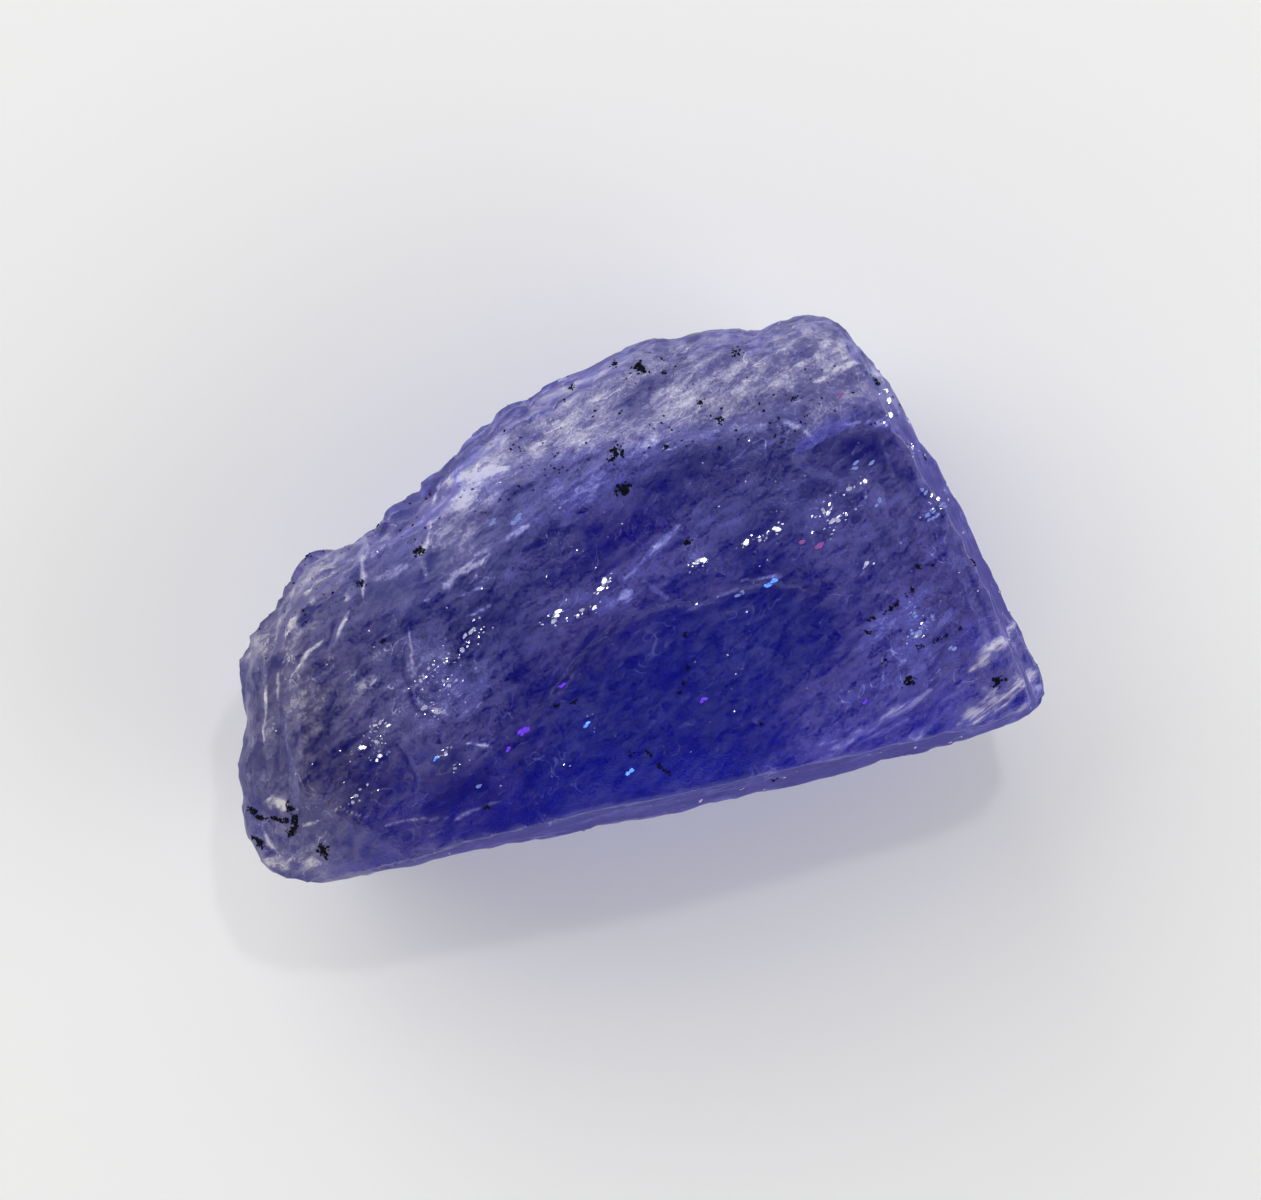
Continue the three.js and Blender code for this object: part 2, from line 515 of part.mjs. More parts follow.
function growthSteps({ count, start: [x, y], spacing, drop, faces, tilt, wander }, surface) {
  const draw = stream(faces);
  const cuts = [];
  const fall = Math.tan(radians(tilt)) * spacing;
  const [outX, outY] = [Math.cos(radians(faces)), Math.sin(radians(faces))];
  const level = surface(x, y);
  for (let i = 0; i < count; i++) {
    const turned = faces + between(draw, [-wander, wander]);
    const at = [x + outX * spacing * i, y + outY * spacing * i, level - fall * i];
    const scarp = outside({ at, faces: turned, tilt: GROWTH_SCARP_TILT });
    const tread = outside({ at: [at[0], at[1], at[2] - drop * (i + 1)], faces: turned, tilt });
    cuts.push(scarp.intersect(tread));
  }
  return cuts;
}

// A crease along a path on the surface: a lozenge section drawn along it, half sunk
function crease({ run, width, depth }, surface) {
  const path = new THREE.CatmullRomCurve3(run.map(([x, y]) => new THREE.Vector3(x, y, surface(x, y))));
  const section = new THREE.Shape([
    new THREE.Vector2(-depth, 0), new THREE.Vector2(0, -width / 2),
    new THREE.Vector2(depth, 0), new THREE.Vector2(0, width / 2),
  ]);
  return solidOf(new THREE.ExtrudeGeometry(section, {
    steps: run.length - 1, extrudePath: path, bevelEnabled: false,
  }));
}

// A straight furrow from one place to another, with a gentle bank on one side and a steep one on the other
function furrow(from, to, width, depth) {
  const needle = new THREE.OctahedronGeometry(1, 0);
  const position = needle.getAttribute('position');
  for (let i = 0; i < position.count; i++) {
    const side = position.getY(i);
    position.setY(i, side * (side > 0 ? FURROW_BANK : FURROW_SCARP));
  }
  needle.scale(from.distanceTo(to) / 2, width / 2, depth);
  const along = to.clone().sub(from).normalize();
  const across = new THREE.Vector3(0, 0, 1).cross(along).normalize();
  needle.applyMatrix4(new THREE.Matrix4().makeBasis(along, across, along.clone().cross(across)));
  const middle = from.clone().lerp(to, 0.5);
  return solidOf(needle.translate(middle.x, middle.y, middle.z));
}

function scatteredFurrows(surface) {
  const draw = stream(FURROW_SEED);
  const cuts = [];
  for (const { low, high, count, length, direction } of FURROW_PATCHES) {
    for (let i = 0; i < count; i++) {
      const [x, y] = [between(draw, [low[0], high[0]]), between(draw, [low[1], high[1]])];
      const heading = radians(direction + between(draw, FURROW_WANDER));
      const reach = between(draw, length) / 2;
      const [dx, dy] = [Math.cos(heading) * reach, Math.sin(heading) * reach];
      const [from, to] = [[x - dx, y - dy], [x + dx, y + dy]].map(
        ([endX, endY]) => new THREE.Vector3(endX, endY, surface(endX, endY)),
      );
      const width = between(draw, FURROW_WIDTH);
      const depth = between(draw, FURROW_DEPTH);
      const buried = Math.abs(surface(x, y) - (from.z + to.z) / 2);
      if (buried < depth / 2) cuts.push(furrow(from, to, width, depth));
    }
  }
  return cuts;
}

function pit([x, y, width], surface) {
  const ball = new THREE.IcosahedronGeometry(1, 0);
  ball.scale(width / 2, width / 2, width * PIT_DEPTH);
  ball.translate(x, y, surface(x, y));
  return solidOf(ball);
}

function cutAway(solid, cuts) {
  return cuts.reduce((left, cut) => left.subtract(cut), solid);
}

// The stone, from the whole crystal down to its finest marks
function makeStone() {
  let stone = cutAway(crystalBody(), [...FRONT_FACES.map(fromTop), ...UNDER_FACES].map(outside));
  let surface = surfaceFinder(stone);
  stone = cutAway(stone, GROWTH_STEPS.flatMap((flight) => growthSteps(flight, surface)));
  stone = cutAway(stone, sheetSteps(surface));
  stone = cutAway(stone, SPLITS.map(fromTop).map(splitSlab));
  stone = cutAway(stone, [...WALL_LEDGES.map(wallLedge), ...WALL_FLIGHTS.flatMap(wallFlight)]);
  stone = cutAway(stone, WALL_SHELLS.map(wallShell));
  surface = surfaceFinder(stone);
  stone = cutAway(stone, FRONT_SHELLS.map((place) => frontShell(place, surface)));
  surface = surfaceFinder(stone);
  stone = cutAway(stone, scatteredFurrows(surface));
  stone = cutAway(stone, CREASES.map((run) => crease(run, surface)));
  return cutAway(stone, PITS.map((place) => pit(place, surface)));
}

function geometryOf(solid) {
  const { vertProperties, triVerts } = solid.getMesh();
  const geometry = new THREE.BufferGeometry();
  geometry.setAttribute('position', new THREE.BufferAttribute(new Float32Array(vertProperties), 3));
  geometry.setIndex(new THREE.BufferAttribute(new Uint32Array(triVerts), 1));
  geometry.computeVertexNormals();
  return geometry;
}

// Stands the stone over the origin: centred in the plan, with its rest face at zero
function centred(geometry) {
  geometry.computeBoundingBox();
  const middle = geometry.boundingBox.getCenter(new THREE.Vector3());
  return geometry.translate(-middle.x, -middle.y, -geometry.boundingBox.min.z);
}

const stone = new THREE.Mesh(
  centred(geometryOf(makeStone())),
  new THREE.MeshStandardMaterial({ color: 0x4a459a, roughness: 0.3, metalness: 0, transparent: true, opacity: 0.85 }),
);
stone.name = 'stone';

const part = new THREE.Group();
part.add(stone);

export default part;
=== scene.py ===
import itertools
import math

import bmesh
import bpy
import numpy as np
from mathutils import Matrix, Vector
from mathutils.bvhtree import BVHTree


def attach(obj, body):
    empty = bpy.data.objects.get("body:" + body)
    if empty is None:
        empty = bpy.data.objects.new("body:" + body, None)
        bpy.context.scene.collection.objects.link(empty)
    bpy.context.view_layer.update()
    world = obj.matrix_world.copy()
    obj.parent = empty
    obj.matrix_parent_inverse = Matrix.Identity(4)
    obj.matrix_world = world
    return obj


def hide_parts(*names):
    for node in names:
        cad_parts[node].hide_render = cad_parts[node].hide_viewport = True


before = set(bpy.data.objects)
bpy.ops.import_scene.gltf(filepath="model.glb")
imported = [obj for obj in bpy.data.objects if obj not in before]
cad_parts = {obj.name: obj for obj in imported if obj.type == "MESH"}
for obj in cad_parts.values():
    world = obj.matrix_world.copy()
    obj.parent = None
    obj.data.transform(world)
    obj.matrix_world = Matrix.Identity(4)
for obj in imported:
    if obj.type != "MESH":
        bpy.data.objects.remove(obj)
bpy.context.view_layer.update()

# The crystal
# One broken crystal of clear violet-blue tanzanite, grown as a single piece and never cut or polished.
# Its faces are cleavage, shell-shaped breaks and growth steps. Etching has frosted its upper edge and
# its left end.

MM = 0.001
PLAN_CENTRE = np.array([-0.015, -0.039, 0.0])  # where the frame's origin lies in the stone's own plan, mm
SKIN_MM = 0.177  # spacing of the fine surface; a third of that on the front
STREAKS = math.radians(24)  # growth lines run this way in the plan
REFRACTIVE_INDEX = 1.695
DEPTH_COLOUR = (0.184, 0.20, 0.92, 1)  # what white light turns to on its way through the crystal
DEPTH_PER_METRE = 245.0  # and how fast

# Places on the front are in the stone's own plan: X along its long lower edge, Y across it, mm.
# First the outline of the clean cleavage window, and the foot of the frosted upper slope
CLEAN_WINDOW = [
    (-3.1, -3.3), (-1.9, -2.3), (-1.0, -1.6), (0.1, -0.9), (1.3, -0.72), (2.5, -0.9), (3.4, -0.62),
    (4.7, -0.9), (5.3, -1.5), (5.9, -2.5), (4.2, -3.6), (3.2, -4.9), (2.9, -6), (-2.6, -6),
]
BEVEL_FOOT = [
    (-9.5, 0.0), (-7.6, 0.9), (-5.7, 1.5), (-3.9, 2.5), (0.0, 3.1), (3.0, 3.1), (5.0, 2.7), (7.8, 2.7),
    (9, 2.3),
]

# How cloudy the crystal is: all over, in the frosted band, along the edges of its lobes, and at the most
BASE_VEIL, FROST_VEIL, LOBE_EDGE_VEIL, THICKEST_VEIL = 0.02, 0.13, 0.12, 0.3
# The same on the walls, and how much is added in their cloudiest patches
WALL_VEIL, WALL_PATCH_VEIL = 0.06, 0.07
# Haze that comes in towards an end: the way along X, where it starts and is full, mm, and its strength
END_HAZES = [(-1, 2.6, 6.0, 0.012), (1, 4.4, 7.4, 0.01), (-1, 7.0, 9.0, 0.05)]
# How cloudy places on the front are: middle, half sizes, turn in degrees, and how strongly clouded
CLOUDED = [
    ((-0.3, 4.4), (3.4, 1.0), 14, 0.12), ((2.2, 3.7), (2.6, 0.9), 8, 0.1),
    ((-2.4, 3.4), (1.3, 0.5), 12, 0.11), ((-7.3, 1.2), (1.6, 0.7), 38, 0.22),
    ((-7.6, 1.5), (0.7, 0.6), 30, 0.05), ((-7.8, -1.3), (1.8, 0.8), 80, 0.05),
    ((-8.0, -2.0), (1.6, 0.5), 80, 0.07), ((-4.6, -1.2), (2.2, 1.8), 20, 0.09),
    ((-6.6, -1.0), (2.2, 1.6), 40, 0.068), ((-2.6, 1.6), (3.0, 1.2), 24, 0.05),
    ((1.4, 0.4), (4.6, 0.9), 18, 0.045), ((-4.0, -2.9), (2.0, 0.7), 0, 0.02),
    ((-1.5, 0.4), (1.8, 1.2), 25, 0.02), ((6.6, 4.6), (1.2, 0.9), 0, 0.15),
    ((7.4, -0.2), (2.0, 2.6), 100, 0.025), ((5.6, 0.6), (1.6, 1.2), 20, 0.02),
    ((6.8, -3.0), (1.8, 1.4), 30, 0.065), ((8.6, -4.4), (1.8, 1.1), 30, 0.06),
    ((4.8, -4.4), (1.8, 1.2), 30, 0.04), ((0.3, 2.5), (2.2, 0.7), 18, 0.08),
    ((-3.4, 2.2), (1.7, 0.9), 35, 0.17), ((3.5, 4.4), (1.4, 0.9), 0, 0.25),
    ((-6.9, 2.05), (1.6, 0.5), 28, 0.12), ((-8.9, 0.5), (0.6, 0.6), 0, 0.09),
    ((2.2, -3.0), (2.0, 0.7), 30, 0.01), ((-9.0, -1.4), (0.8, 2.2), 80, 0.02),
    ((-8.8, -4.9), (1.2, 0.8), 0, 0.03),
]
# Places that are clearer than what lies around them, one of them painted shadow: the same, and how much of
# the cloud is gone
CLEAR_AND_SHADOW = [
    ((-1.1, 4.1), (0.6, 0.3), 24, 0.6), ((-1.3, 4.6), (0.9, 0.3), 24, 0.6),
    ((-1.4, 3.75), (0.6, 0.25), 24, 0.6), ((2.2, 4.7), (0.6, 0.3), 10, 0.7),
    # The patch at (6.9, 2.0) on the next line is painted shadow under the ledge above it: its cloud is
    # taken out so it shows dark
    ((3.1, 4.9), (0.4, 0.3), 0, 0.5), ((6.9, 2.0), (1.1, 0.5), -12, 0.95),
    ((-4.72, 2.62), (0.7, 0.45), 30, 0.7), ((-6.75, 1.14), (0.45, 0.55), 0, 0.7),
    ((-3.32, 3.2), (0.3, 0.25), 0, 0.6), ((-5.7, 0.7), (0.6, 0.4), 30, 0.5),
    ((2.0, 0.66), (0.5, 0.25), 20, 0.9), ((1.0, 1.3), (1.8, 0.5), 20, 0.5),
    ((-0.4, 0.6), (1.6, 0.4), 30, 0.5), ((6.3, -2.0), (1.3, 0.2), 24, 0.6),
    ((-3.4, -5.2), (2.0, 0.55), 4, 0.9), ((-4.4, -4.2), (2.8, 0.9), 5, 0.7),
    ((-6.8, -3.5), (0.9, 0.6), 20, 0.4),
]

# Pale streaks, two of them painted highlights: where each runs, its half width, mm, and its strength
PALE_STREAKS_AND_HIGHLIGHTS = [
    ([(-4.42, 0.61), (-3.45, 1.15), (-2.52, 1.53), (-1.54, 1.91)], 0.14, 0.62),
    ([(-3.48, 0.06), (-2.82, 0.21)], 0.035, 0.6), ([(-3.58, 0.59), (-2.8, 0.67)], 0.03, 0.5),
    ([(0.5, 0.1), (1.32, 0.59), (2.15, 1.07)], 0.09, 0.4), ([(0.42, -0.2), (0.55, -0.5)], 0.16, 0.35),
    ([(0.97, -0.04), (1.2, -0.4), (1.45, -0.66)], 0.05, 0.4),
    ([(1.77, -1.04), (2.52, -0.91), (3.16, -0.79)], 0.05, 0.35),
    ([(3.3, -0.6), (4.4, -0.7)], 0.035, 0.6), ([(-3.5, 3.3), (-2.6, 3.41), (-1.7, 3.4)], 0.16, 0.55),
    ([(-3.3, 2.75), (-2.5, 3.0)], 0.26, 0.4),
    ([(-5.58, 2.56), (-5.67, 1.99), (-5.89, 1.41), (-5.91, 1.0)], 0.07, 0.7),
    ([(-3.42, 3.51), (-3.73, 2.91), (-4.01, 2.21), (-4.31, 1.81), (-4.22, 1.15)], 0.08, 0.6),
    ([(-5.76, 1.42), (-5.24, 1.47), (-4.54, 1.57)], 0.12, 0.4), ([(-7.3, 1.2), (-7.1, 1.5)], 0.14, 0.6),
    ([(-8.05, 0.6), (-7.65, 0.95)], 0.16, 0.55), ([(-6.35, 1.05), (-6.1, 1.35)], 0.12, 0.4),
    ([(-7.11, 0.29), (-7.6, -0.02), (-8.19, -0.57)], 0.055, 0.7),
    ([(-6.31, 0.83), (-6.61, 0.43), (-6.92, -0.01)], 0.05, 0.65),
    ([(-8.7, -0.03), (-8.83, -0.76)], 0.05, 0.35), ([(-8.4, -0.18), (-8.52, -0.92)], 0.04, 0.35),
    ([(-9.35, -0.27), (-9.47, -1.17)], 0.06, 0.4), ([(-8.79, -0.4), (-9.17, -1.92)], 0.045, 0.6),
    ([(-6.1, -0.8), (-6.7, -1.3)], 0.22, 0.35), ([(-7.95, 0.0), (-7.9, -0.6)], 0.04, 0.4),
    # The second streak on the next line is a painted highlight
    ([(-7.79, -3.84), (-6.96, -4.28)], 0.035, 0.7), ([(-4.25, -2.98), (-3.55, -3.28)], 0.045, 0.9),
    ([(-6.77, -4.58), (-5.93, -4.6), (-4.96, -4.81)], 0.035, 0.3),
    ([(-4.98, -4.89), (-4.25, -4.64), (-3.65, -4.6)], 0.04, 0.35),
    ([(-9.79, -3.89), (-9.62, -4.44), (-9.39, -4.74)], 0.04, 0.6),
    ([(-8.71, -4.18), (-8.17, -4.05)], 0.045, 0.6), ([(-9.46, -3.38), (-8.93, -3.66)], 0.14, 0.7),
    ([(-9.9, -4.85), (-9.32, -5.0), (-8.42, -5.1)], 0.22, 0.4),
    ([(6.12, 3.82), (6.6, 3.9), (7.09, 4.02), (7.53, 3.92), (7.83, 3.55)], 0.07, 0.6),
    ([(5.6, 4.24), (6.17, 4.38), (6.78, 4.67)], 0.09, 0.4),
    ([(5.1, 3.05), (5.57, 2.71), (5.85, 2.26)], 0.08, 0.5),
    ([(6.6, 2.62), (7.07, 2.56), (7.59, 2.48), (8.05, 2.15), (8.48, 1.67)], 0.1, 0.5),
    # The second streak on the next line, along the right edge, is a painted highlight
    ([(4.3, 2.45), (5.2, 2.7)], 0.05, 0.4), ([(8.27, 2.41), (8.4, 1.99), (8.56, 1.65)], 0.09, 1.0),
    ([(8.89, 0.42), (9.05, -0.23), (9.25, -0.89)], 0.04, 0.7),
    ([(1.7, 3.4), (2.1, 3.1), (2.5, 2.7)], 0.03, 0.4),
    ([(-4.95, 0.14), (-5.1, -0.72), (-5.16, -1.56), (-4.99, -1.93), (-4.31, -2.3)], 0.045, 0.4),
]
# Creases with painted shade: the cloud is taken out along them so they show dark. Where each runs, its half
# width, mm, and how deep it is
SHADED_CREASES = [
    ([(0.3, -0.8), (-0.7, -1.4), (-1.3, -1.85), (-1.9, -2.3)], 0.09, 0.9),
    ([(-1.8, 1.25), (-0.7, 1.65)], 0.1, 0.8), ([(-0.4, 0.1), (0.4, 0.5), (1.5, 1.0)], 0.1, 0.7),
    ([(3.6, -2.7), (4.2, -1.9)], 0.06, 0.7), ([(-4.5, 0.85), (-3.0, 1.55)], 0.08, 0.5),
    ([(-5.2, -0.3), (-5.35, -1.0), (-5.2, -1.8), (-4.5, -2.5)], 0.08, 0.6),
    ([(-7.61, -2.69), (-6.39, -2.12)], 0.07, 0.7),
    ([(-5.86, -2.58), (-5.61, -3.57), (-5.78, -3.95)], 0.07, 0.7),
    ([(4.42, -3.4), (5.22, -3.0), (6.06, -2.48)], 0.09, 0.6), ([(-7.4, 0.3), (-8.1, -0.4)], 0.07, 0.6),
    ([(-6.6, 0.8), (-7.1, 0.0)], 0.06, 0.6), ([(5.2, 0.9), (7.4, 2.0)], 0.09, 0.5),
]
# Silky stripes where thin sheets of the crystal end, measured as the pale streaks are
SILKY_STRIPES = [
    ([(8.3, -4.05), (8.9, -3.6), (9.48, -3.28), (9.8, -3.05)], 0.2, 1.1),
    ([(9.1, -5.3), (9.8, -4.97), (10.2, -4.7)], 0.1, 0.9),
    ([(7.9, -5.25), (8.82, -4.89), (9.61, -4.57), (10.1, -4.4)], 0.3, 1.2),
    ([(6.5, -5.25), (7.1, -5.1)], 0.16, 0.9),
    ([(4.5, -5.15), (5.37, -4.9), (6.29, -4.62), (7.35, -4.2)], 0.13, 0.8),
    ([(7.7, -5.3), (8.3, -5.05)], 0.1, 0.8), ([(5.0, -5.3), (6.6, -4.8)], 0.045, 0.7),
    ([(7.3, -4.7), (8.4, -4.3)], 0.05, 0.5), ([(8.6, -3.4), (9.3, -2.95)], 0.06, 0.5),
    ([(9.1, -3.95), (9.9, -3.5)], 0.06, 0.6), ([(4.0, -5.0), (4.9, -4.95)], 0.03, 0.6),
]


def tidy_copy(node):
    """The CAD node's mesh in millimetres, with its loose triangles joined at their corners."""
    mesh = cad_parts[node].data.copy()
    mesh.materials.clear()
    joined = bmesh.new()
    joined.from_mesh(mesh)
    bmesh.ops.scale(joined, vec=(1 / MM,) * 3, verts=joined.verts)
    bmesh.ops.remove_doubles(joined, verts=joined.verts, dist=0.001)
    joined.to_mesh(mesh)
    joined.free()
    return mesh


REST_BAND = 0.3  # share of the spacing under which a face is the rest face's
FACES_UP = 0.35  # the front's faces look upwards by more than this


def fine_skin(mesh, spacing):
    """The same solid under an even net of small faces: three times as fine on the front, and plain on the
    flat rest face."""
    holder = bpy.data.objects.new("skin_work", mesh)
    bpy.context.collection.objects.link(holder)
    remesh = holder.modifiers.new("skin", "REMESH")
    remesh.mode = "VOXEL"
    remesh.voxel_size = spacing
    made = bpy.data.meshes.new_from_object(holder.evaluated_get(bpy.context.evaluated_depsgraph_get()))
    bpy.data.objects.remove(holder)
    net = bmesh.new()
    net.from_mesh(made)
    top = REST_BAND * spacing
    resting = {face for face in net.faces if all(corner.co.z < top for corner in face.verts)}
    # Corners and edges are taken in the net's own order, so that every run numbers them alike
    bmesh.ops.dissolve_limit(net, angle_limit=math.radians(5),
                             verts=[one for one in net.verts if not resting.isdisjoint(one.link_faces)],
                             edges=[one for one in net.edges if not resting.isdisjoint(one.link_faces)])
    front_edges = [one for one in net.edges if any(face.normal.z > FACES_UP for face in one.link_faces)]
    bmesh.ops.subdivide_edges(net, edges=front_edges, cuts=2, use_grid_fill=True)
    bmesh.ops.triangulate(net, faces=[face for face in net.faces if len(face.verts) > 4])
    net.normal_update()
    net.to_mesh(made)
    net.free()
    return made


def corners_of(mesh):
    places = np.zeros(len(mesh.vertices) * 3, np.float32)
    mesh.vertices.foreach_get("co", places)
    return places.reshape(-1, 3).astype(float)


def outward_of(mesh):
    directions = np.zeros(len(mesh.vertices) * 3, np.float32)
    mesh.vertex_normals.foreach_get("vector", directions)
    return directions.reshape(-1, 3).astype(float)


# Large whole numbers that mix a cell's place and a seed, and what keeps the result to 32 bits
MIX_X, MIX_Y, MIX_Z, MIX_SEED = 73856093, 19349663, 83492791, 40503
MIX_ONCE, MIX_AGAIN, IN_32_BITS = 2654435761, 2246822519, 0xFFFFFFFF
# How far apart two seeds read the noise and the breaks, in cells
GRAIN_SHIFT, SHARD_SHIFT = 37.3, 17.9


def chance(cell, seed):
    """A repeatable random number from -1 to 1 for each whole-numbered cell of space."""
    mixed = (cell[:, 0] * MIX_X) ^ (cell[:, 1] * MIX_Y) ^ (cell[:, 2] * MIX_Z) ^ (seed * MIX_SEED)
    mixed = (mixed * MIX_ONCE) & IN_32_BITS
    mixed = ((mixed ^ (mixed >> 15)) * MIX_AGAIN) & IN_32_BITS
    return (mixed >> 8) / float(1 << 23) - 1


def grain(points, size, seed):
    """Smooth noise from -1 to 1 with bumps about one size apart. The size may differ along the axes."""
    scaled = points / np.asarray(size) + GRAIN_SHIFT * seed
    cell = np.floor(scaled).astype(np.int64)
    part = scaled - cell
    fade = part * part * (3 - 2 * part)
    total = np.zeros(len(points))
    for corner in itertools.product((0, 1), repeat=3):
        total += chance(cell + corner, seed) * np.prod(np.where(corner, fade, 1 - fade), axis=1)
    return total


def fractal(points, size, seed, octaves, gain):
    """Noise of several sizes, each half as large as the one before and gain times as strong. Its spread
    is about 1."""
    total = sum(gain ** i * grain(points, np.asarray(size) / 2 ** i, seed + i) for i in range(octaves))
    return total / total.std()


def shards(points, size, seed, tilt):
    """Small flat breaks that meet at sharp edges: their heights, a random number from -1 to 1 for each
    break, and how far each point is from the nearest edge, 0 on it."""
    scaled = points / np.asarray(size) + SHARD_SHIFT * seed
    cell = np.floor(scaled).astype(np.int64)
    nearest = np.full(len(points), np.inf)
    second = np.full(len(points), np.inf)
    height = np.zeros(len(points))
    pick = np.zeros(len(points))
    for neighbour in itertools.product((-1, 0, 1), repeat=3):
        at = cell + neighbour
        middle = at + 0.5 + 0.45 * np.stack([chance(at, seed + axis) for axis in range(3)], axis=1)
        offset = scaled - middle
        reach = (offset ** 2).sum(axis=1)
        closer = reach < nearest
        lean = np.stack([chance(at, seed + 3 + axis) for axis in range(3)], axis=1)
        slope = tilt * ((offset * lean).sum(axis=1) + 0.4 * chance(at, seed + 6))
        second = np.where(closer, nearest, np.minimum(second, reach))
        nearest = np.where(closer, reach, nearest)
        height = np.where(closer, slope, height)
        pick = np.where(closer, chance(at, seed + 7), pick)
    return height, pick, np.sqrt(second) - np.sqrt(nearest)


def rise(value, low, high):
    """0 up to low, 1 from high on, and a smooth rise between them."""
    share = np.clip((value - low) / (high - low), 0, 1)
    return share * share * (3 - 2 * share)


def line_distance(plan, line):
    """Each point's distance in the plan from a run of straight pieces."""
    nearest = np.full(len(plan), np.inf)
    for start, end in zip(line, line[1:]):
        start, way = np.array(start), np.subtract(end, start)
        share = np.clip((plan - start) @ way / (way @ way), 0, 1)
        nearest = np.minimum(nearest, np.linalg.norm(plan - start - share[:, None] * way, axis=1))
    return nearest


def stroke(plan, line, half_width):
    """1 along the middle of a run of straight pieces that thins out towards both ends, 0 away from it."""
    total = sum(math.dist(start, end) for start, end in zip(line, line[1:]))
    best = np.zeros(len(plan))
    passed = 0.0
    for start, end in zip(line, line[1:]):
        length = math.dist(start, end)
        start, way = np.array(start), np.subtract(end, start)
        share = np.clip((plan - start) @ way / (way @ way), 0, 1)
        away = np.linalg.norm(plan - start - share[:, None] * way, axis=1)
        run = (passed + share * length) / total
        taper = np.sqrt(np.clip(4 * run * (1 - run), 0.02, 1))  # full width in the middle only
        best = np.maximum(best, 1 - rise(away / (half_width * taper), 0.4, 1.3))
        passed += length
    return best


def within(plan, outline):
    """True for the points in a closed outline."""
    inside = np.zeros(len(plan), bool)
    for (start_x, start_y), (end_x, end_y) in zip(outline, outline[1:] + outline[:1]):
        crosses = (start_y > plan[:, 1]) != (end_y > plan[:, 1])
        if start_y != end_y:
            share = (plan[:, 1] - start_y) / (end_y - start_y)
            inside ^= crosses & (plan[:, 0] < (end_x - start_x) * share + start_x)
    return inside


def patch(plan, middle, half, turn):
    """1 in the middle of an oval, falling smoothly to 0 at its edge."""
    angle = math.radians(turn)
    along = (plan - middle) @ np.array([math.cos(angle), math.sin(angle)])
    across = (plan - middle) @ np.array([-math.sin(angle), math.cos(angle)])
    return 1 - rise(np.hypot(along / half[0], across / half[1]), 0.1, 1.15)


def along_streaks(points, angle):
    """The same points with their first axis laid along the growth lines."""
    turn = np.array(Matrix.Rotation(-angle, 3, "Z"))
    return points @ turn.T


skin = fine_skin(tidy_copy("stone"), SKIN_MM)
places = corners_of(skin) + PLAN_CENTRE
outward = outward_of(skin)
plan = places[:, :2]
on_front = rise(outward[:, 2], 0.15, 0.5)
off_rest = rise(places[:, 2], 0.05, 0.4)
streaky = along_streaks(places, STREAKS)
edge_of_window = np.where(within(plan, CLEAN_WINDOW), 1, -1) * line_distance(plan, CLEAN_WINDOW)
window = on_front * rise(edge_of_window + 0.5 * grain(streaky, (1.1, 0.5, 0.6), 11), -0.4, 1.3)

bevel_foot = np.interp(plan[:, 0], *np.array(BEVEL_FOOT).T)
above_foot = plan[:, 1] - bevel_foot

# How clouded each part of the surface is. The sizes are along the growth lines, across them and up, mm
FLAKE_SIZE, CHIP_SIZE, LOBE_SIZE = (0.9, 0.38, 0.5), (0.38, 0.2, 0.25), (1.15, 0.85, 1.0)
WISP_SIZE, BLOTCH_SIZE, RIB_SIZE = (1.1, 0.55, 0.8), (1.7, 0.8, 0.8), (0.55, 2.4, 2.4)
# How far wisps, flakes, chips, blotches and ribs vary the cloud
BY_WISPS, BY_FLAKES, BY_CHIPS, BY_FROST_BLOTCHES, BY_BLOTCHES, BY_RIBS = 0.28, 0.06, 0.08, 0.3, 0.2, 0.3
frosted = rise(above_foot + 0.4 * grain(streaky, (1.4, 0.4, 0.5), 12), -0.6, 0.9)
cloud = FROST_VEIL * frosted + BASE_VEIL
for way, start, full, strength in END_HAZES:
    cloud += strength * rise(way * plan[:, 0], start, full)
for middle, half, turn, strength in CLOUDED:
    cloud += strength * patch(plan, middle, half, turn)
for middle, half, turn, strength in CLEAR_AND_SHADOW:
    cloud *= 1 - strength * patch(plan, middle, half, turn)
flakes, flake_pick, _ = shards(streaky, FLAKE_SIZE, 20, 1.0)
chips, chip_pick, _ = shards(streaky, CHIP_SIZE, 40, 1.0)
strayed = places + 0.25 * np.stack([grain(places, 0.8, 31 + axis) for axis in range(3)], axis=1)
lobes, _, lobe_edge = shards(strayed, LOBE_SIZE, 50, 1.0)
wisps = fractal(streaky, WISP_SIZE, 60, octaves=4, gain=1.0)
blotches = fractal(streaky, BLOTCH_SIZE, 70, octaves=5, gain=0.65)
mottle = (BY_WISPS * wisps + BY_FLAKES * flake_pick + BY_CHIPS * chip_pick) * (1 - 0.5 * frosted)
mottle += BY_FROST_BLOTCHES * blotches * frosted
mottle += BY_BLOTCHES * blotches * rise(-plan[:, 0], 1.5, 4.0)
wall_patches = rise(fractal(places, (1.6, 1.6, 0.7), 80, octaves=4, gain=0.8), -0.4, 1.8)
wall_cloud = WALL_VEIL + WALL_PATCH_VEIL * wall_patches
cloud = cloud * on_front + wall_cloud * (1 - on_front)
left_end = rise(-plan[:, 0], 6.5, 9.0)
across_ribs = np.stack([plan[:, 0] - 0.18 * plan[:, 1], plan[:, 1], places[:, 2]], axis=1)
ribs = fractal(across_ribs, RIB_SIZE, 98, octaves=3, gain=0.8)
mottle += BY_RIBS * left_end * ribs
cloud = np.maximum(cloud * (1 + mottle), 0)
cloud = THICKEST_VEIL * np.tanh(cloud / THICKEST_VEIL) * (1 - 0.5 * window)
lobed = frosted * (0.35 + 0.65 * rise(1.5 - plan[:, 0], 0, 2.5))
lobe_lines = (1 - rise(lobe_edge, 0.0, 0.22)) * rise(grain(places, 0.9, 35), -0.4, 0.5)
cloud += LOBE_EDGE_VEIL * lobed * on_front * lobe_lines
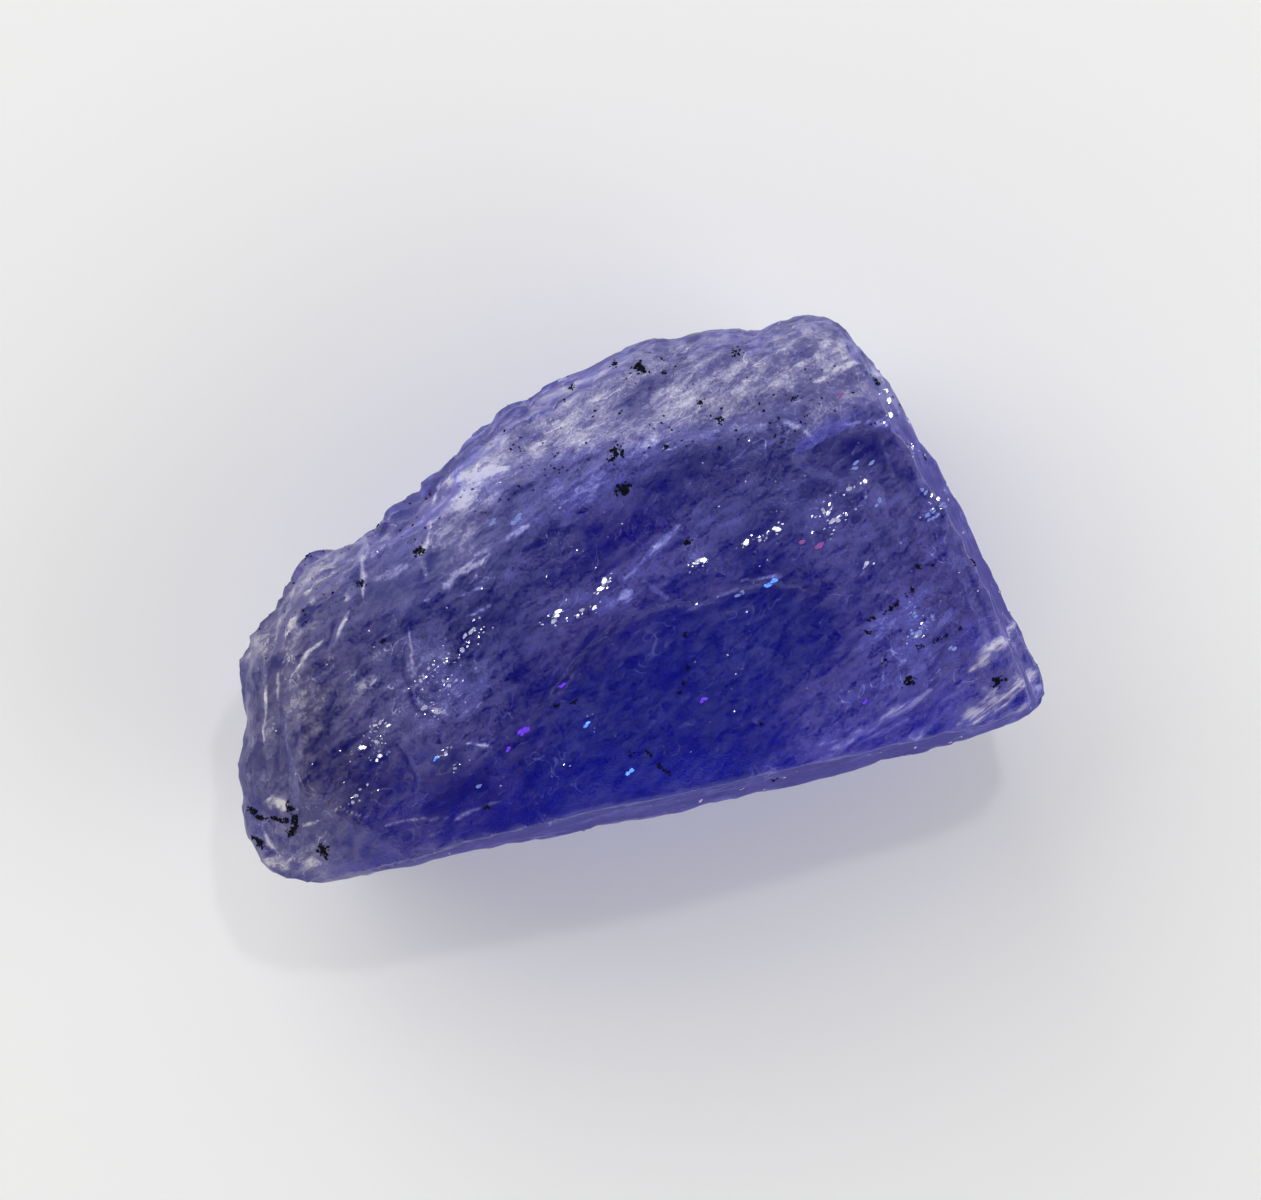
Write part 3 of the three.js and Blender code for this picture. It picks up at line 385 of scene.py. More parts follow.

# Streaks, two of them painted highlights, silky stripes and creases with painted shade, with ragged edges
# and gaps
STREAK_VEIL = 0.45
wavering = 1 + 0.7 * grain(streaky, (0.35, 0.15, 0.3), 3)
wandering = plan + 0.06 * np.stack([grain(places, 0.5, 14), grain(places, 0.5, 15)], axis=1)
streaks_and_highlights = np.zeros(len(plan))
for line, half_width, strength in PALE_STREAKS_AND_HIGHLIGHTS:
    streaks_and_highlights = np.maximum(streaks_and_highlights, STREAK_VEIL * strength * stroke(wandering, line, half_width * wavering))
silk = np.zeros(len(plan))
for line, half_width, strength in SILKY_STRIPES:
    silk = np.maximum(silk, strength * stroke(wandering, line, half_width * wavering))
shaded_creases = np.zeros(len(plan))
for line, half_width, depth in SHADED_CREASES:
    shaded_creases = np.maximum(shaded_creases, depth * stroke(wandering, line, half_width * wavering))
# Painted shade: the cloud is taken out along the creases so they show dark
cloud *= 1 - shaded_creases * on_front
broken = rise(grain(streaky, (0.32, 0.13, 0.2), 16) + 0.35 * wisps, -0.75, 0.35)
streaks_and_highlights *= on_front * (0.3 + 0.7 * broken)
silk *= on_front * (0.35 + 0.65 * broken)

# Relief: growth lines, waves, etching and small angular breaks, all weaker in the clean window, mm
BROAD_WAVE, NARROW_WAVE, WINDOW_WAVE = 0.03, 0.014, 0.012
FLAKE_STEP, CHIP_STEP = 0.018, 0.006
LOBE_ON_WALL, LOBE_ON_FRONT = 0.12, 0.07
GROWTH_RIDGE, FINE_RIDGE, END_RIB = 0.010, 0.006, 0.012
WALL_STEP, WALL_BLOCK, WALL_FLUTE = 0.05, 0.03, 0.035
ETCHED, ETCHED_MORE_WHERE_CLOUDED = 0.004, 0.02
STREAK_RISE, SILK_RISE, CREASE_DEPTH = 0.02, 0.03, 0.03
rough_ground = (1 - 0.85 * window) * off_rest
lift = BROAD_WAVE * grain(places, 1.7, 5) + NARROW_WAVE * grain(places, 0.75, 6)
lobe_height = LOBE_ON_WALL + (LOBE_ON_FRONT - LOBE_ON_WALL) * on_front
lift += FLAKE_STEP * flakes + CHIP_STEP * chips
lift += lobe_height * lobed * (lobes + 1.2 * rise(lobe_edge, 0.0, 0.35))
ridges = 1 - np.abs(grain(streaky, (2.6, 0.34, 0.9), 7)) * 2
lift += GROWTH_RIDGE * ridges + FINE_RIDGE * grain(streaky, (1.2, 0.16, 0.5), 8)
wall_steps, _, wall_edge = shards(places, (1.5, 1.5, 0.55), 90, 1.0)
wall_relief = WALL_STEP * wall_steps + WALL_BLOCK * rise(wall_edge, 0, 0.3)
wall_relief += WALL_FLUTE * grain(places, (0.5, 0.5, 1.6), 92)
lift += (1 - on_front) * wall_relief
lift += END_RIB * left_end * ribs
lift += (ETCHED + ETCHED_MORE_WHERE_CLOUDED * cloud) * grain(places, 0.22, 9)
lift += STREAK_RISE * streaks_and_highlights + SILK_RISE * silk - CREASE_DEPTH * shaded_creases
lift *= rough_ground
lift += WINDOW_WAVE * window * grain(places, 1.4, 10)
shaped = places + outward * lift[:, None]
shaped[:, 2] = np.maximum(shaped[:, 2], 0)

skin.vertices.foreach_set("co", ((shaped - PLAN_CENTRE) * MM).astype(np.float32).ravel())

# The colour that light takes on at the surface: bluer here and more violet there, duller at the left end
# and darker on the walls, which is painted shade where they face sideways
BLUER_TINT, VIOLET_TINT, WINDOW_TINT = (0.70, 0.72, 0.98), (0.80, 0.70, 0.96), (0.68, 0.76, 0.98)
LEFT_END_TINT, WALL_SHADE_TINT = (0.50, 0.42, 0.48), (0.34, 0.30, 0.56)
sides = 1 - rise(outward[:, 2], 0.2, 0.62)
towards_violet = rise(grain(places, 3.8, 13) + 0.25 * wisps, -0.5, 0.5)


def mixed(first, second, share):
    return np.asarray(first) * (1 - share[:, None]) + np.asarray(second) * share[:, None]


body_tint = mixed(BLUER_TINT, VIOLET_TINT, towards_violet)
body_tint = mixed(body_tint, LEFT_END_TINT, 0.8 * left_end)
body_tint = mixed(body_tint, WINDOW_TINT, window)
# Painted shade: the sideways-facing walls take a darker tint
body_tint = mixed(body_tint, WALL_SHADE_TINT, sides)

# Painted shade: the steep band around the front gets a dark painted colour and is duller; the band is
# weaker towards the rest face
LEAST_RIM, RIM_ROUGHNESS = 0.25, 0.9
shaded_rim = LEAST_RIM + (1 - LEAST_RIM) * rise(outward[:, 2], -0.3, 0.25)
shaded_rim *= 1 - rise(outward[:, 2], 0.42, 0.62)
shaded_rim *= (1 - frosted) * (1 - left_end) * (1 - np.clip(silk, 0, 1))
roughness = np.maximum(0.13 - 0.05 * window + 0.35 * cloud + 0.25 * sides, RIM_ROUGHNESS * shaded_rim)

# How far the haze turns from blue to grey: at the left end, on the walls, in two oval places and in the
# frosted band
SILKY_CORNER, PALE_CORNER = ((8.9, -4.3), (2.0, 1.4), 30), ((-3.4, 2.0), (2.6, 1.6), 35)
GREY_WALLS, GREY_SILK, GREY_FROST = 0.3, 0.8, 0.7
BLUE_HAZE_GAIN = 0.2
greyed = np.maximum(rise(-plan[:, 0], 2.0, 8.5), GREY_WALLS * sides)
greyed = np.maximum(greyed, GREY_SILK * patch(plan, *SILKY_CORNER))
greyed = np.maximum(greyed, GREY_FROST * np.maximum(frosted, patch(plan, *PALE_CORNER)) * on_front)
cloud *= 1 + BLUE_HAZE_GAIN * (1 - greyed)

maps = {"veil": cloud + streaks_and_highlights, "silk": silk, "roughness": roughness, "shaded_rim": shaded_rim, "greyed": greyed}
for name, values in maps.items():
    skin.attributes.new(name, "FLOAT", "POINT").data.foreach_set("value", values.astype(np.float32))
tint_values = np.concatenate([body_tint, np.ones((len(plan), 1))], axis=1).astype(np.float32)
skin.attributes.new("body_tint", "FLOAT_COLOR", "POINT").data.foreach_set("color", tint_values.ravel())
skin.polygons.foreach_set("use_smooth", np.ones(len(skin.polygons), bool))
skin.update()
stone = bpy.data.objects.new("rough_crystal", skin)
bpy.context.collection.objects.link(stone)


def add_node(tree, kind, label=None, **settings):
    node = tree.nodes.new(kind)
    node.label = label or ""
    for name, value in settings.items():
        setattr(node, name, value)
    return node


def feed(tree, socket, value):
    """Sets a node's socket to a value, or joins it to the socket that the value comes out of."""
    if isinstance(value, bpy.types.NodeSocket):
        tree.links.new(value, socket)
    else:
        socket.default_value = value


def reckoned(tree, operation, *values):
    """What a sum in a node tree comes to."""
    node = add_node(tree, "ShaderNodeMath", operation=operation)
    for socket, value in zip(node.inputs, values):
        feed(tree, socket, value)
    return node.outputs[0]


# The haze's colour where it is blue and where it is greyed, thin and thick, then silk's and the dark colour
# painted as shade on the steep rim band
THIN_HAZES = (0.17, 0.165, 1.0), (0.22, 0.18, 0.42)
THICK_HAZES = (0.58, 0.60, 1.0), (0.72, 0.69, 0.68)
SILK_COLOUR, PAINTED_RIM_SHADE = (0.70, 0.66, 0.78), (0.05, 0.045, 0.26)
FULL_VEIL = 0.40  # the haze is thickest from here on
LEAST_CLEAR = 0.3  # how much light still passes through haze, silk or rim
BUMP_HEIGHT = 0.00002


def crystal_finish():
    """Clear violet-blue crystal, clouded and silky where the surface's maps say so."""
    finish = bpy.data.materials.new("tanzanite")
    finish.use_nodes = True
    tree = finish.node_tree
    tree.nodes.clear()
    link = tree.links.new

    def reading(name, output="Fac"):
        return add_node(tree, "ShaderNodeAttribute", name, attribute_name=name).outputs[output]

    def number(operation, *values):
        return reckoned(tree, operation, *values)

    def spread(value, low, high, start, end):
        """Goes from start to end while the value goes from low to high."""
        node = add_node(tree, "ShaderNodeMapRange", clamp=True)
        link(value, node.inputs["Value"])
        for name, setting in zip(("From Min", "From Max", "To Min", "To Max"), (low, high, start, end)):
            node.inputs[name].default_value = setting
        return node.outputs["Result"]

    def blend(share, first, second):
        node = add_node(tree, "ShaderNodeMix", data_type="RGBA")
        link(share, node.inputs["Factor"])
        for socket, value in zip(node.inputs[6:8], (first, second)):
            feed(tree, socket, (*value, 1) if isinstance(value, tuple) else value)
        return node.outputs[2]

    coordinates = add_node(tree, "ShaderNodeTexCoord").outputs["Object"]
    turned = add_node(tree, "ShaderNodeMapping", "along the growth lines")
    turned.inputs["Rotation"].default_value = (0, 0, -STREAKS)
    link(coordinates, turned.inputs["Vector"])

    def drawn_out(x, y, z):
        node = add_node(tree, "ShaderNodeMapping", "drawn out along the growth lines")
        node.inputs["Scale"].default_value = (x, y, z)
        link(turned.outputs["Vector"], node.inputs["Vector"])
        return node.outputs["Vector"]

    def texture(vector, per_metre, detail, rough=0.6, bend=0.0):
        node = add_node(tree, "ShaderNodeTexNoise")
        node.inputs["Scale"].default_value = per_metre
        node.inputs["Detail"].default_value = detail
        node.inputs["Roughness"].default_value = rough
        node.inputs["Distortion"].default_value = bend
        link(vector, node.inputs["Vector"])
        return node.outputs["Fac"]

    fibres = texture(drawn_out(0.3, 1.0, 0.6), 4200.0, detail=4.0, rough=0.75)
    silk_fibres = texture(drawn_out(0.1, 1.0, 0.6), 6000.0, detail=3.0, rough=0.8)
    etching = texture(coordinates, 14000.0, detail=2.0, rough=0.8)
    winding = texture(drawn_out(0.6, 1.0, 0.8), 1300.0, detail=2.0, bend=0.8)
    threads = number("ABSOLUTE", number("SUBTRACT", winding, 0.5))
    thread_places = spread(texture(coordinates, 900.0, detail=1.0), 0.5, 0.62, 0.0, 1.0)
    crumbs = add_node(tree, "ShaderNodeTexVoronoi", "crisp little flakes")
    crumbs.inputs["Scale"].default_value = 5500.0
    link(drawn_out(0.55, 1.0, 0.8), crumbs.inputs["Vector"])
    veil, silk, shaded_rim, greyed = (reading(name) for name in ("veil", "silk", "shaded_rim", "greyed"))

    fine = number("ADD", spread(fibres, 0.4, 0.6, 0.5, 1.5), spread(etching, 0.35, 0.65, -0.5, 0.5))
    fine = number("ADD", fine, spread(crumbs.outputs["Color"], 0.15, 0.85, -0.4, 0.4))
    calmer = number("MULTIPLY", number("SUBTRACT", fine, 1.0), spread(veil, 0.06, 0.25, 1.0, 0.4))
    veil = number("MULTIPLY", veil, number("MAXIMUM", number("ADD", calmer, 1.0), 0.0))
    thread_strength = number("MULTIPLY", thread_places, spread(veil, 0.0, 0.12, 0.05, 0.25))
    veil = number("ADD", veil, number("MULTIPLY", spread(threads, 0.0, 0.009, 1.0, 0.0), thread_strength))
    silky = number("MULTIPLY", silk, spread(silk_fibres, 0.35, 0.6, 0.2, 1.0))

    thin_veil = blend(greyed, *THIN_HAZES)
    thick_veil = blend(greyed, *THICK_HAZES)
    colour = blend(spread(veil, 0.0, FULL_VEIL, 0.0, 1.0), thin_veil, thick_veil)
    colour = blend(silky, colour, SILK_COLOUR)
    clear_of_veil = spread(veil, 0.0, FULL_VEIL, 1.0, LEAST_CLEAR)
    clear = number("MULTIPLY", clear_of_veil, spread(silky, 0.0, 1.0, 1.0, LEAST_CLEAR))
    through = blend(spread(clear, 0.75, 1.0, 0.0, 1.0), colour, reading("body_tint", "Color"))
    # Painted shade: the dark rim colour is blended into the base colour on the steep band
    rim_shade = number("MULTIPLY", shaded_rim, spread(veil, 0.0, FULL_VEIL, 0.95, 0.5))
    through = blend(rim_shade, through, PAINTED_RIM_SHADE)
    clear = number("MULTIPLY", clear, spread(shaded_rim, 0.0, 1.0, 1.0, LEAST_CLEAR))

    relief = add_node(tree, "ShaderNodeBump", "fine relief")
    relief.inputs["Strength"].default_value = 0.6
    relief.inputs["Distance"].default_value = BUMP_HEIGHT
    link(etching, relief.inputs["Height"])

    surface = add_node(tree, "ShaderNodeBsdfPrincipled")
    surface.inputs["IOR"].default_value = REFRACTIVE_INDEX
    surface.inputs["Specular IOR Level"].default_value = 0.2
    surface.inputs["Specular Tint"].default_value = (0.32, 0.32, 0.55, 1)
    link(through, surface.inputs["Base Color"])
    link(reading("roughness"), surface.inputs["Roughness"])
    link(clear, surface.inputs["Transmission Weight"])
    link(relief.outputs["Normal"], surface.inputs["Normal"])

    depth = add_node(tree, "ShaderNodeVolumeAbsorption")
    depth.inputs["Color"].default_value = DEPTH_COLOUR
    depth.inputs["Density"].default_value = DEPTH_PER_METRE
    output = add_node(tree, "ShaderNodeOutputMaterial")
    link(surface.outputs["BSDF"], output.inputs["Surface"])
    link(depth.outputs["Volume"], output.inputs["Volume"])
    return finish


stone.data.materials.append(crystal_finish())
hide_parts("stone")
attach(stone, "root")

# The graphite
# Soft black flakes that the crystal grew around. They show as ragged specks in its surface, as thin
# broken lines along old cracks, and as a fine pepper in the frosted upper band.

# Specks as place and width, and dark lines as runs with a half width, in the stone's own plan, mm
GRAPHITE_SPECKS = [
    (2.0, 5.12, 0.42), (1.45, 5.35, 0.2), (0.25, 5.05, 0.16), (1.0, 3.15, 0.36), (0.95, 2.25, 0.36),
    (3.3, 3.93, 0.16), (3.65, 3.4, 0.2), (2.2, 3.0, 0.18), (4.45, 4.95, 0.22), (5.55, 3.5, 0.16),
    (7.7, 3.45, 0.2), (-5.65, -0.1, 0.14), (6.8, -3.93, 0.3), (8.95, -4.43, 0.26), (6.35, -3.3, 0.12),
    (1.65, -1.6, 0.14), (1.55, -2.4, 0.12), (1.35, -2.75, 0.12), (1.2, -2.95, 0.1), (3.0, -4.15, 0.1),
    (-9.0, -4.25, 0.22), (-9.85, -4.35, 0.2), (-8.3, -4.85, 0.26), (-5.88, 1.4, 0.2),
    (-4.3, 1.85, 0.26), (2.2, 0.62, 0.2),
]
GRAPHITE_LINES = [
    ([(-9.9, -3.45), (-9.71, -3.74), (-9.31, -3.83), (-8.84, -4.02)], 0.07),
    ([(-8.9, -3.45), (-8.8, -4.03), (-9.03, -4.28)], 0.08), ([(-8.35, -4.7), (-8.25, -5.1)], 0.07),
    ([(-9.95, -4.2), (-9.75, -4.5)], 0.09), ([(-4.1, -4.68), (-3.8, -4.72)], 0.05),
    ([(-1.9, -2.6), (-1.35, -2.6)], 0.05), ([(-0.35, -4.1), (-0.15, -4.25)], 0.06),
    ([(0.1, -4.2), (0.4, -4.7), (0.6, -4.95)], 0.06),
    ([(6.15, -2.25), (6.8, -2.07), (7.45, -1.71)], 0.05), ([(6.0, -2.5), (6.35, -2.62)], 0.05),
    ([(7.15, -3.17), (7.79, -3.08), (8.4, -2.93)], 0.045), ([(7.6, -1.2), (8.05, -1.27)], 0.06),
    ([(2.6, 5.3), (2.6, 4.8)], 0.06),
]
FLAKE_MM, FLAKE_THICKNESS_MM = 0.1, 0.03
FLAKES_IN_A_SPECK, FLAKE_PER_SPECK_WIDTH = 34, 2.7
WALL_SPECKS, FLAKES_IN_A_WALL_SPECK, FLAKE_PER_WALL_SPECK_WIDTH = 34, 9, 3.2
SPECK_SPREAD = 0.28  # how far flakes stray from a speck's middle beside its width
FLAKE_SIZES = (0.3, 1.1)  # smallest and largest beside the usual one
FLAKE_TILT = 0.25  # how far they lean out of the surface
FLAKES_PER_MM, LINE_HALF_WIDTH = 34, 0.05
UNBROKEN_HALF_WIDTH = 0.06  # wider lines have no gaps, mm
PEPPER_COUNT = 300
LOOK_DOWN_FROM = 0.02  # a height over the whole stone, m

drawing = np.random.default_rng(11)
surface_of_stone = BVHTree.FromPolygons([tuple(corner.co) for corner in skin.vertices],
                                        [tuple(face.vertices) for face in skin.polygons])


def on_the_front(x, y):
    """The place on the front straight under a spot of the plan, and the way the surface faces there."""
    start = Vector(((x - PLAN_CENTRE[0]) * MM, (y - PLAN_CENTRE[1]) * MM, LOOK_DOWN_FROM))
    return surface_of_stone.ray_cast(start, Vector((0, 0, -1)))[:2]


def along(line, share):
    """The point at a share of the length of a run of straight pieces."""
    lengths = [math.dist(start, end) for start, end in zip(line, line[1:])]
    left = share * sum(lengths)
    for start, end, length in zip(line, line[1:], lengths):
        if left <= length:
            return np.array(start) + np.subtract(end, start) * left / length
        left -= length
    return np.array(line[-1])


def plates(name, spots, width, thickness, length, turn_spread, stretch, seed, finish):
    """A mesh of small six-sided plates, grown by a node tree: one on each spot, length times as long as
    wide along the growth lines, give or take turn_spread, and stretched at random. A spot is a place, the
    way its plate faces, and its size beside the others."""
    seeds = bpy.data.meshes.new(name)
    seeds.from_pydata([tuple(place) for place, _, _ in spots], [], [])
    facing = np.array([tuple(way) for _, way, _ in spots], np.float32)
    seeds.attributes.new("facing", "FLOAT_VECTOR", "POINT").data.foreach_set("vector", facing.ravel())
    sizes = np.array([size for _, _, size in spots], np.float32)
    seeds.attributes.new("size", "FLOAT", "POINT").data.foreach_set("value", sizes)
    holder = bpy.data.objects.new(name, seeds)
    bpy.context.collection.objects.link(holder)

    tree = bpy.data.node_groups.new(name, "GeometryNodeTree")
    link = tree.links.new
    sockets = {}
    numbers = ("Plate width", "Plate thickness", "Length", "Turn", "Turn spread", "Stretch")
    kinds = {"Geometry": "Geometry", **dict.fromkeys(numbers, "Float"), "Seed": "Int"}
    for label, kind in kinds.items():
        sockets[label] = tree.interface.new_socket(label, in_out="INPUT", socket_type="NodeSocket" + kind)
    tree.interface.new_socket("Geometry", in_out="OUTPUT", socket_type="NodeSocketGeometry")
    given = add_node(tree, "NodeGroupInput").outputs

    def chosen(kind, middle, give):
        """A random value for each plate, up to give below or above the middle."""
        node = add_node(tree, "FunctionNodeRandomValue", data_type=kind)
        ends = [socket for socket in node.inputs if socket.enabled]
        for socket, operation in zip(ends, ("SUBTRACT", "ADD")):
            link(reckoned(tree, operation, middle, give), socket)
        link(given["Seed"], node.inputs["Seed"])
        return next(socket for socket in node.outputs if socket.enabled)

    plate = add_node(tree, "GeometryNodeMeshCone")
    plate.inputs["Vertices"].default_value = 6
    for end, share in (("Bottom", 0.5), ("Top", 0.4)):
        link(reckoned(tree, "MULTIPLY", given["Plate width"], share), plate.inputs["Radius " + end])
    link(given["Plate thickness"], plate.inputs["Depth"])

    facing_way = add_node(tree, "GeometryNodeInputNamedAttribute", data_type="FLOAT_VECTOR")
    facing_way.inputs["Name"].default_value = "facing"
    aligned = add_node(tree, "FunctionNodeAlignRotationToVector", axis="Z")
    link(facing_way.outputs["Attribute"], aligned.inputs["Vector"])
    spin = add_node(tree, "FunctionNodeAxisAngleToRotation")
    link(chosen("FLOAT", given["Turn"], given["Turn spread"]), spin.inputs["Angle"])
    turned = add_node(tree, "FunctionNodeRotateRotation", rotation_space="LOCAL")
    link(aligned.outputs[0], turned.inputs[0])
    link(spin.outputs[0], turned.inputs[1])

    stretched = chosen("FLOAT_VECTOR", 1.0, given["Stretch"])
    own_size = add_node(tree, "GeometryNodeInputNamedAttribute", data_type="FLOAT")
    own_size.inputs["Name"].default_value = "size"
    scale = add_node(tree, "ShaderNodeVectorMath", operation="SCALE")
    longer = add_node(tree, "ShaderNodeCombineXYZ")
    for socket, value in zip(longer.inputs, (given["Length"], 1.0, 1.0)):
        feed(tree, socket, value)
    lengthened = add_node(tree, "ShaderNodeVectorMath", operation="MULTIPLY")
    link(stretched, lengthened.inputs[0])
    link(longer.outputs[0], lengthened.inputs[1])
    link(lengthened.outputs[0], scale.inputs[0])
    link(own_size.outputs["Attribute"], scale.inputs["Scale"])

    placed = add_node(tree, "GeometryNodeInstanceOnPoints")
    for socket, value in (("Points", given["Geometry"]), ("Instance", plate.outputs["Mesh"]),
                          ("Rotation", turned.outputs[0]), ("Scale", scale.outputs[0])):
        link(value, placed.inputs[socket])
    whole = add_node(tree, "GeometryNodeRealizeInstances")
    link(placed.outputs[0], whole.inputs[0])
    dressed = add_node(tree, "GeometryNodeSetMaterial")
    dressed.inputs["Material"].default_value = finish
    link(whole.outputs[0], dressed.inputs[0])
    link(dressed.outputs[0], add_node(tree, "NodeGroupOutput").inputs[0])

    grown = holder.modifiers.new(name, "NODES")
    grown.node_group = tree
    settings = (width * MM, thickness * MM, length, STREAKS, turn_spread, stretch, seed)
    for label, value in zip((*numbers, "Seed"), settings):
        grown[sockets[label].identifier] = value
    made = bpy.data.meshes.new_from_object(holder.evaluated_get(bpy.context.evaluated_depsgraph_get()))
    bpy.data.objects.remove(holder)
    piece = bpy.data.objects.new(name, made)
    bpy.context.collection.objects.link(piece)
    return piece


graphite_spots = []


def lay_flake(x, y, size):
    place, facing = on_the_front(x, y)
    if place is not None:
        tilted = facing + Vector(drawing.normal(0, FLAKE_TILT, 3))
        graphite_spots.append((place, tilted.normalized(), size))


for x, y, width in GRAPHITE_SPECKS:
    for _ in range(FLAKES_IN_A_SPECK):
        reach = drawing.normal(0, SPECK_SPREAD * width, 2)
        size = FLAKE_PER_SPECK_WIDTH * width * drawing.uniform(*FLAKE_SIZES)
        lay_flake(x + reach[0], y + 0.8 * reach[1], size)
for line, half_width in GRAPHITE_LINES:
    length = sum(math.dist(start, end) for start, end in zip(line, line[1:]))
    for _ in range(int(length * FLAKES_PER_MM * (1 + half_width / LINE_HALF_WIDTH))):
        share = drawing.uniform()
        x, y = along(line, share) + drawing.normal(0, 0.5 * half_width, 2)
        if half_width > UNBROKEN_HALF_WIDTH or math.sin(share * length * 9 + 40 * half_width) > -0.3:
            lay_flake(x, y, drawing.uniform(0.2, 0.3 + 7 * half_width))
for _ in range(PEPPER_COUNT):
    x = drawing.uniform(-9, 9)
    y = np.interp(x, *np.array(BEVEL_FOOT).T) + abs(drawing.normal(0, 1.2)) - 0.3
    lay_flake(x, y, drawing.uniform(0.25, 0.6))

wall_corners = np.flatnonzero((outward[:, 2] < 0.3) & (places[:, 2] > 0.4))


def on_a_wall():
    return Vector(skin.vertices[int(drawing.choice(wall_corners))].co)


for _ in range(WALL_SPECKS):
    middle, width = on_a_wall(), drawing.uniform(0.06, 0.3)
    for _ in range(FLAKES_IN_A_WALL_SPECK):
        spot = middle + Vector(drawing.normal(0, SPECK_SPREAD * width, 3)) * MM
        place, facing, _, _ = surface_of_stone.find_nearest(spot)
        size = FLAKE_PER_WALL_SPECK_WIDTH * width * drawing.uniform(*FLAKE_SIZES)
        graphite_spots.append((place, facing, size))


def plain_finish(name, **settings):
    """A material with some of its shader's own sockets set. An underscore stands for a space."""
    finish = bpy.data.materials.new(name)
    finish.use_nodes = True
    shader = finish.node_tree.nodes["Principled BSDF"]
    for socket, value in settings.items():
        shader.inputs[socket.replace("_", " ")].default_value = value
    return finish


black = plain_finish("graphite", Base_Color=(0.004, 0.004, 0.006, 1), Roughness=0.8,
                     Specular_IOR_Level=0.1)
graphite = plates("graphite_flakes", graphite_spots, FLAKE_MM, FLAKE_THICKNESS_MM, length=1.3,
                  turn_spread=math.pi, stretch=0.5, seed=3, finish=black)
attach(graphite, "root")

# The glinting chips
# Tiny steps where the crystal split along its one perfect cleavage. They all face the same way, so they
# flash together like small mirrors.

CLEAVAGE_TILT = math.radians(11.6)  # how far the cleavage leans from level, and towards where
CLEAVAGE_AZIMUTH = math.radians(54.5)
CLEAVAGE_WANDER = math.radians(1.4)
CHIP_MM, CHIP_THICKNESS_MM = 0.1, 0.02

# Clusters of chips: the place in the stone's own plan and the half width, mm, and how many lie there
CHIP_CLUSTERS = [
    (-3.5, -0.42, 0.16, 7), (-0.07, 0.03, 0.06, 3), (0.1, 0.13, 0.06, 3), (-0.75, -0.52, 0.07, 3),
    (-0.37, -0.45, 0.06, 3), (-1.5, -0.53, 0.12, 3), (-1.3, -0.4, 0.06, 2), (2.3, 0.05, 0.08, 3),
    (2.45, 0.1, 0.06, 2), (3.6, 0.3, 0.07, 3), (4.05, 0.35, 0.06, 2), (4.35, 0.45, 0.08, 3),
    (5.65, 0.65, 0.13, 7), (5.85, 0.3, 0.14, 6), (6.4, 1.03, 0.07, 2), (6.8, 1.12, 0.07, 2),
    (8.15, 1.65, 0.08, 3), (7.85, 2.6, 0.07, 3), (7.85, 2.9, 0.06, 2), (7.85, 3.2, 0.07, 3),
    (-4.9, -1.2, 0.1, 5), (-4.35, -1.45, 0.14, 6), (-4.6, -0.98, 0.12, 4), (-4.1, -0.9, 0.12, 4),
    (-5.0, -1.95, 0.08, 3), (-4.75, -2.15, 0.08, 3), (-6.45, -2.45, 0.2, 10), (-6.3, -2.1, 0.08, 3),
    (-6.4, -2.9, 0.08, 3), (-7.15, -3.75, 0.1, 3), (-4.75, -3.13, 0.07, 3), (-4.55, -3.55, 0.07, 2),
    (6.4, -0.9, 0.07, 2), (8.4, 0.3, 0.16, 4), (7.2, -2.8, 0.12, 3),
]
CHIP_SCATTER = 140  # single small ones strewn over the whole front
WALL_CHIPS = 160  # and over the walls, each facing nearly as the wall does
# Their sizes beside the plate's own, smallest and largest
LARGE_CHIPS, SMALL_CHIPS, STREWN_CHIPS, WALL_CHIP_SIZES = (0.6, 1.3), (0.2, 0.5), (0.15, 0.4), (0.3, 1.0)
SMALL_CHIPS_STRAY = 2.2  # small ones lie this much further out in a cluster
CLUSTER_NARROWNESS = 0.4  # a cluster's width across the growth lines beside its length
WALL_CHIP_TILT = 0.2

chip_spots = []


def lay_chip(spots, x, y, size):
    place, _ = on_the_front(x, y)
    if place is not None:
        tilt = CLEAVAGE_TILT + drawing.normal(0, CLEAVAGE_WANDER)
        azimuth = CLEAVAGE_AZIMUTH + drawing.normal(0, CLEAVAGE_WANDER) / math.sin(CLEAVAGE_TILT)
        level = math.sin(tilt)
        way = Vector((level * math.cos(azimuth), level * math.sin(azimuth), math.cos(tilt)))
        spots.append((place + way * (0.5 * CHIP_THICKNESS_MM * size * MM), way, size))


def beside(x, y, run, side):
    """The place that is run along the growth lines and side across them from a place in the plan."""
    return (x + run * math.cos(STREAKS) - side * math.sin(STREAKS),
            y + run * math.sin(STREAKS) + side * math.cos(STREAKS))


for x, y, reach, count in CHIP_CLUSTERS:
    for order in range(3 * count):
        run, side = drawing.normal(0, reach, 2)
        large = order < count / 2
        far = 1 if large else SMALL_CHIPS_STRAY
        size = drawing.uniform(*(LARGE_CHIPS if large else SMALL_CHIPS))
        lay_chip(chip_spots, *beside(x, y, far * run, far * CLUSTER_NARROWNESS * side), size)
for _ in range(CHIP_SCATTER):
    lay_chip(chip_spots, drawing.uniform(-9, 9.5), drawing.uniform(-5, 4.5), drawing.uniform(*STREWN_CHIPS))
for _ in range(WALL_CHIPS):
    place, facing, _, _ = surface_of_stone.find_nearest(on_a_wall())
    way = (facing + Vector(drawing.normal(0, WALL_CHIP_TILT, 3))).normalized()
    place = place + way * (0.3 * CHIP_THICKNESS_MM * MM)
    chip_spots.append((place, way, drawing.uniform(*WALL_CHIP_SIZES)))

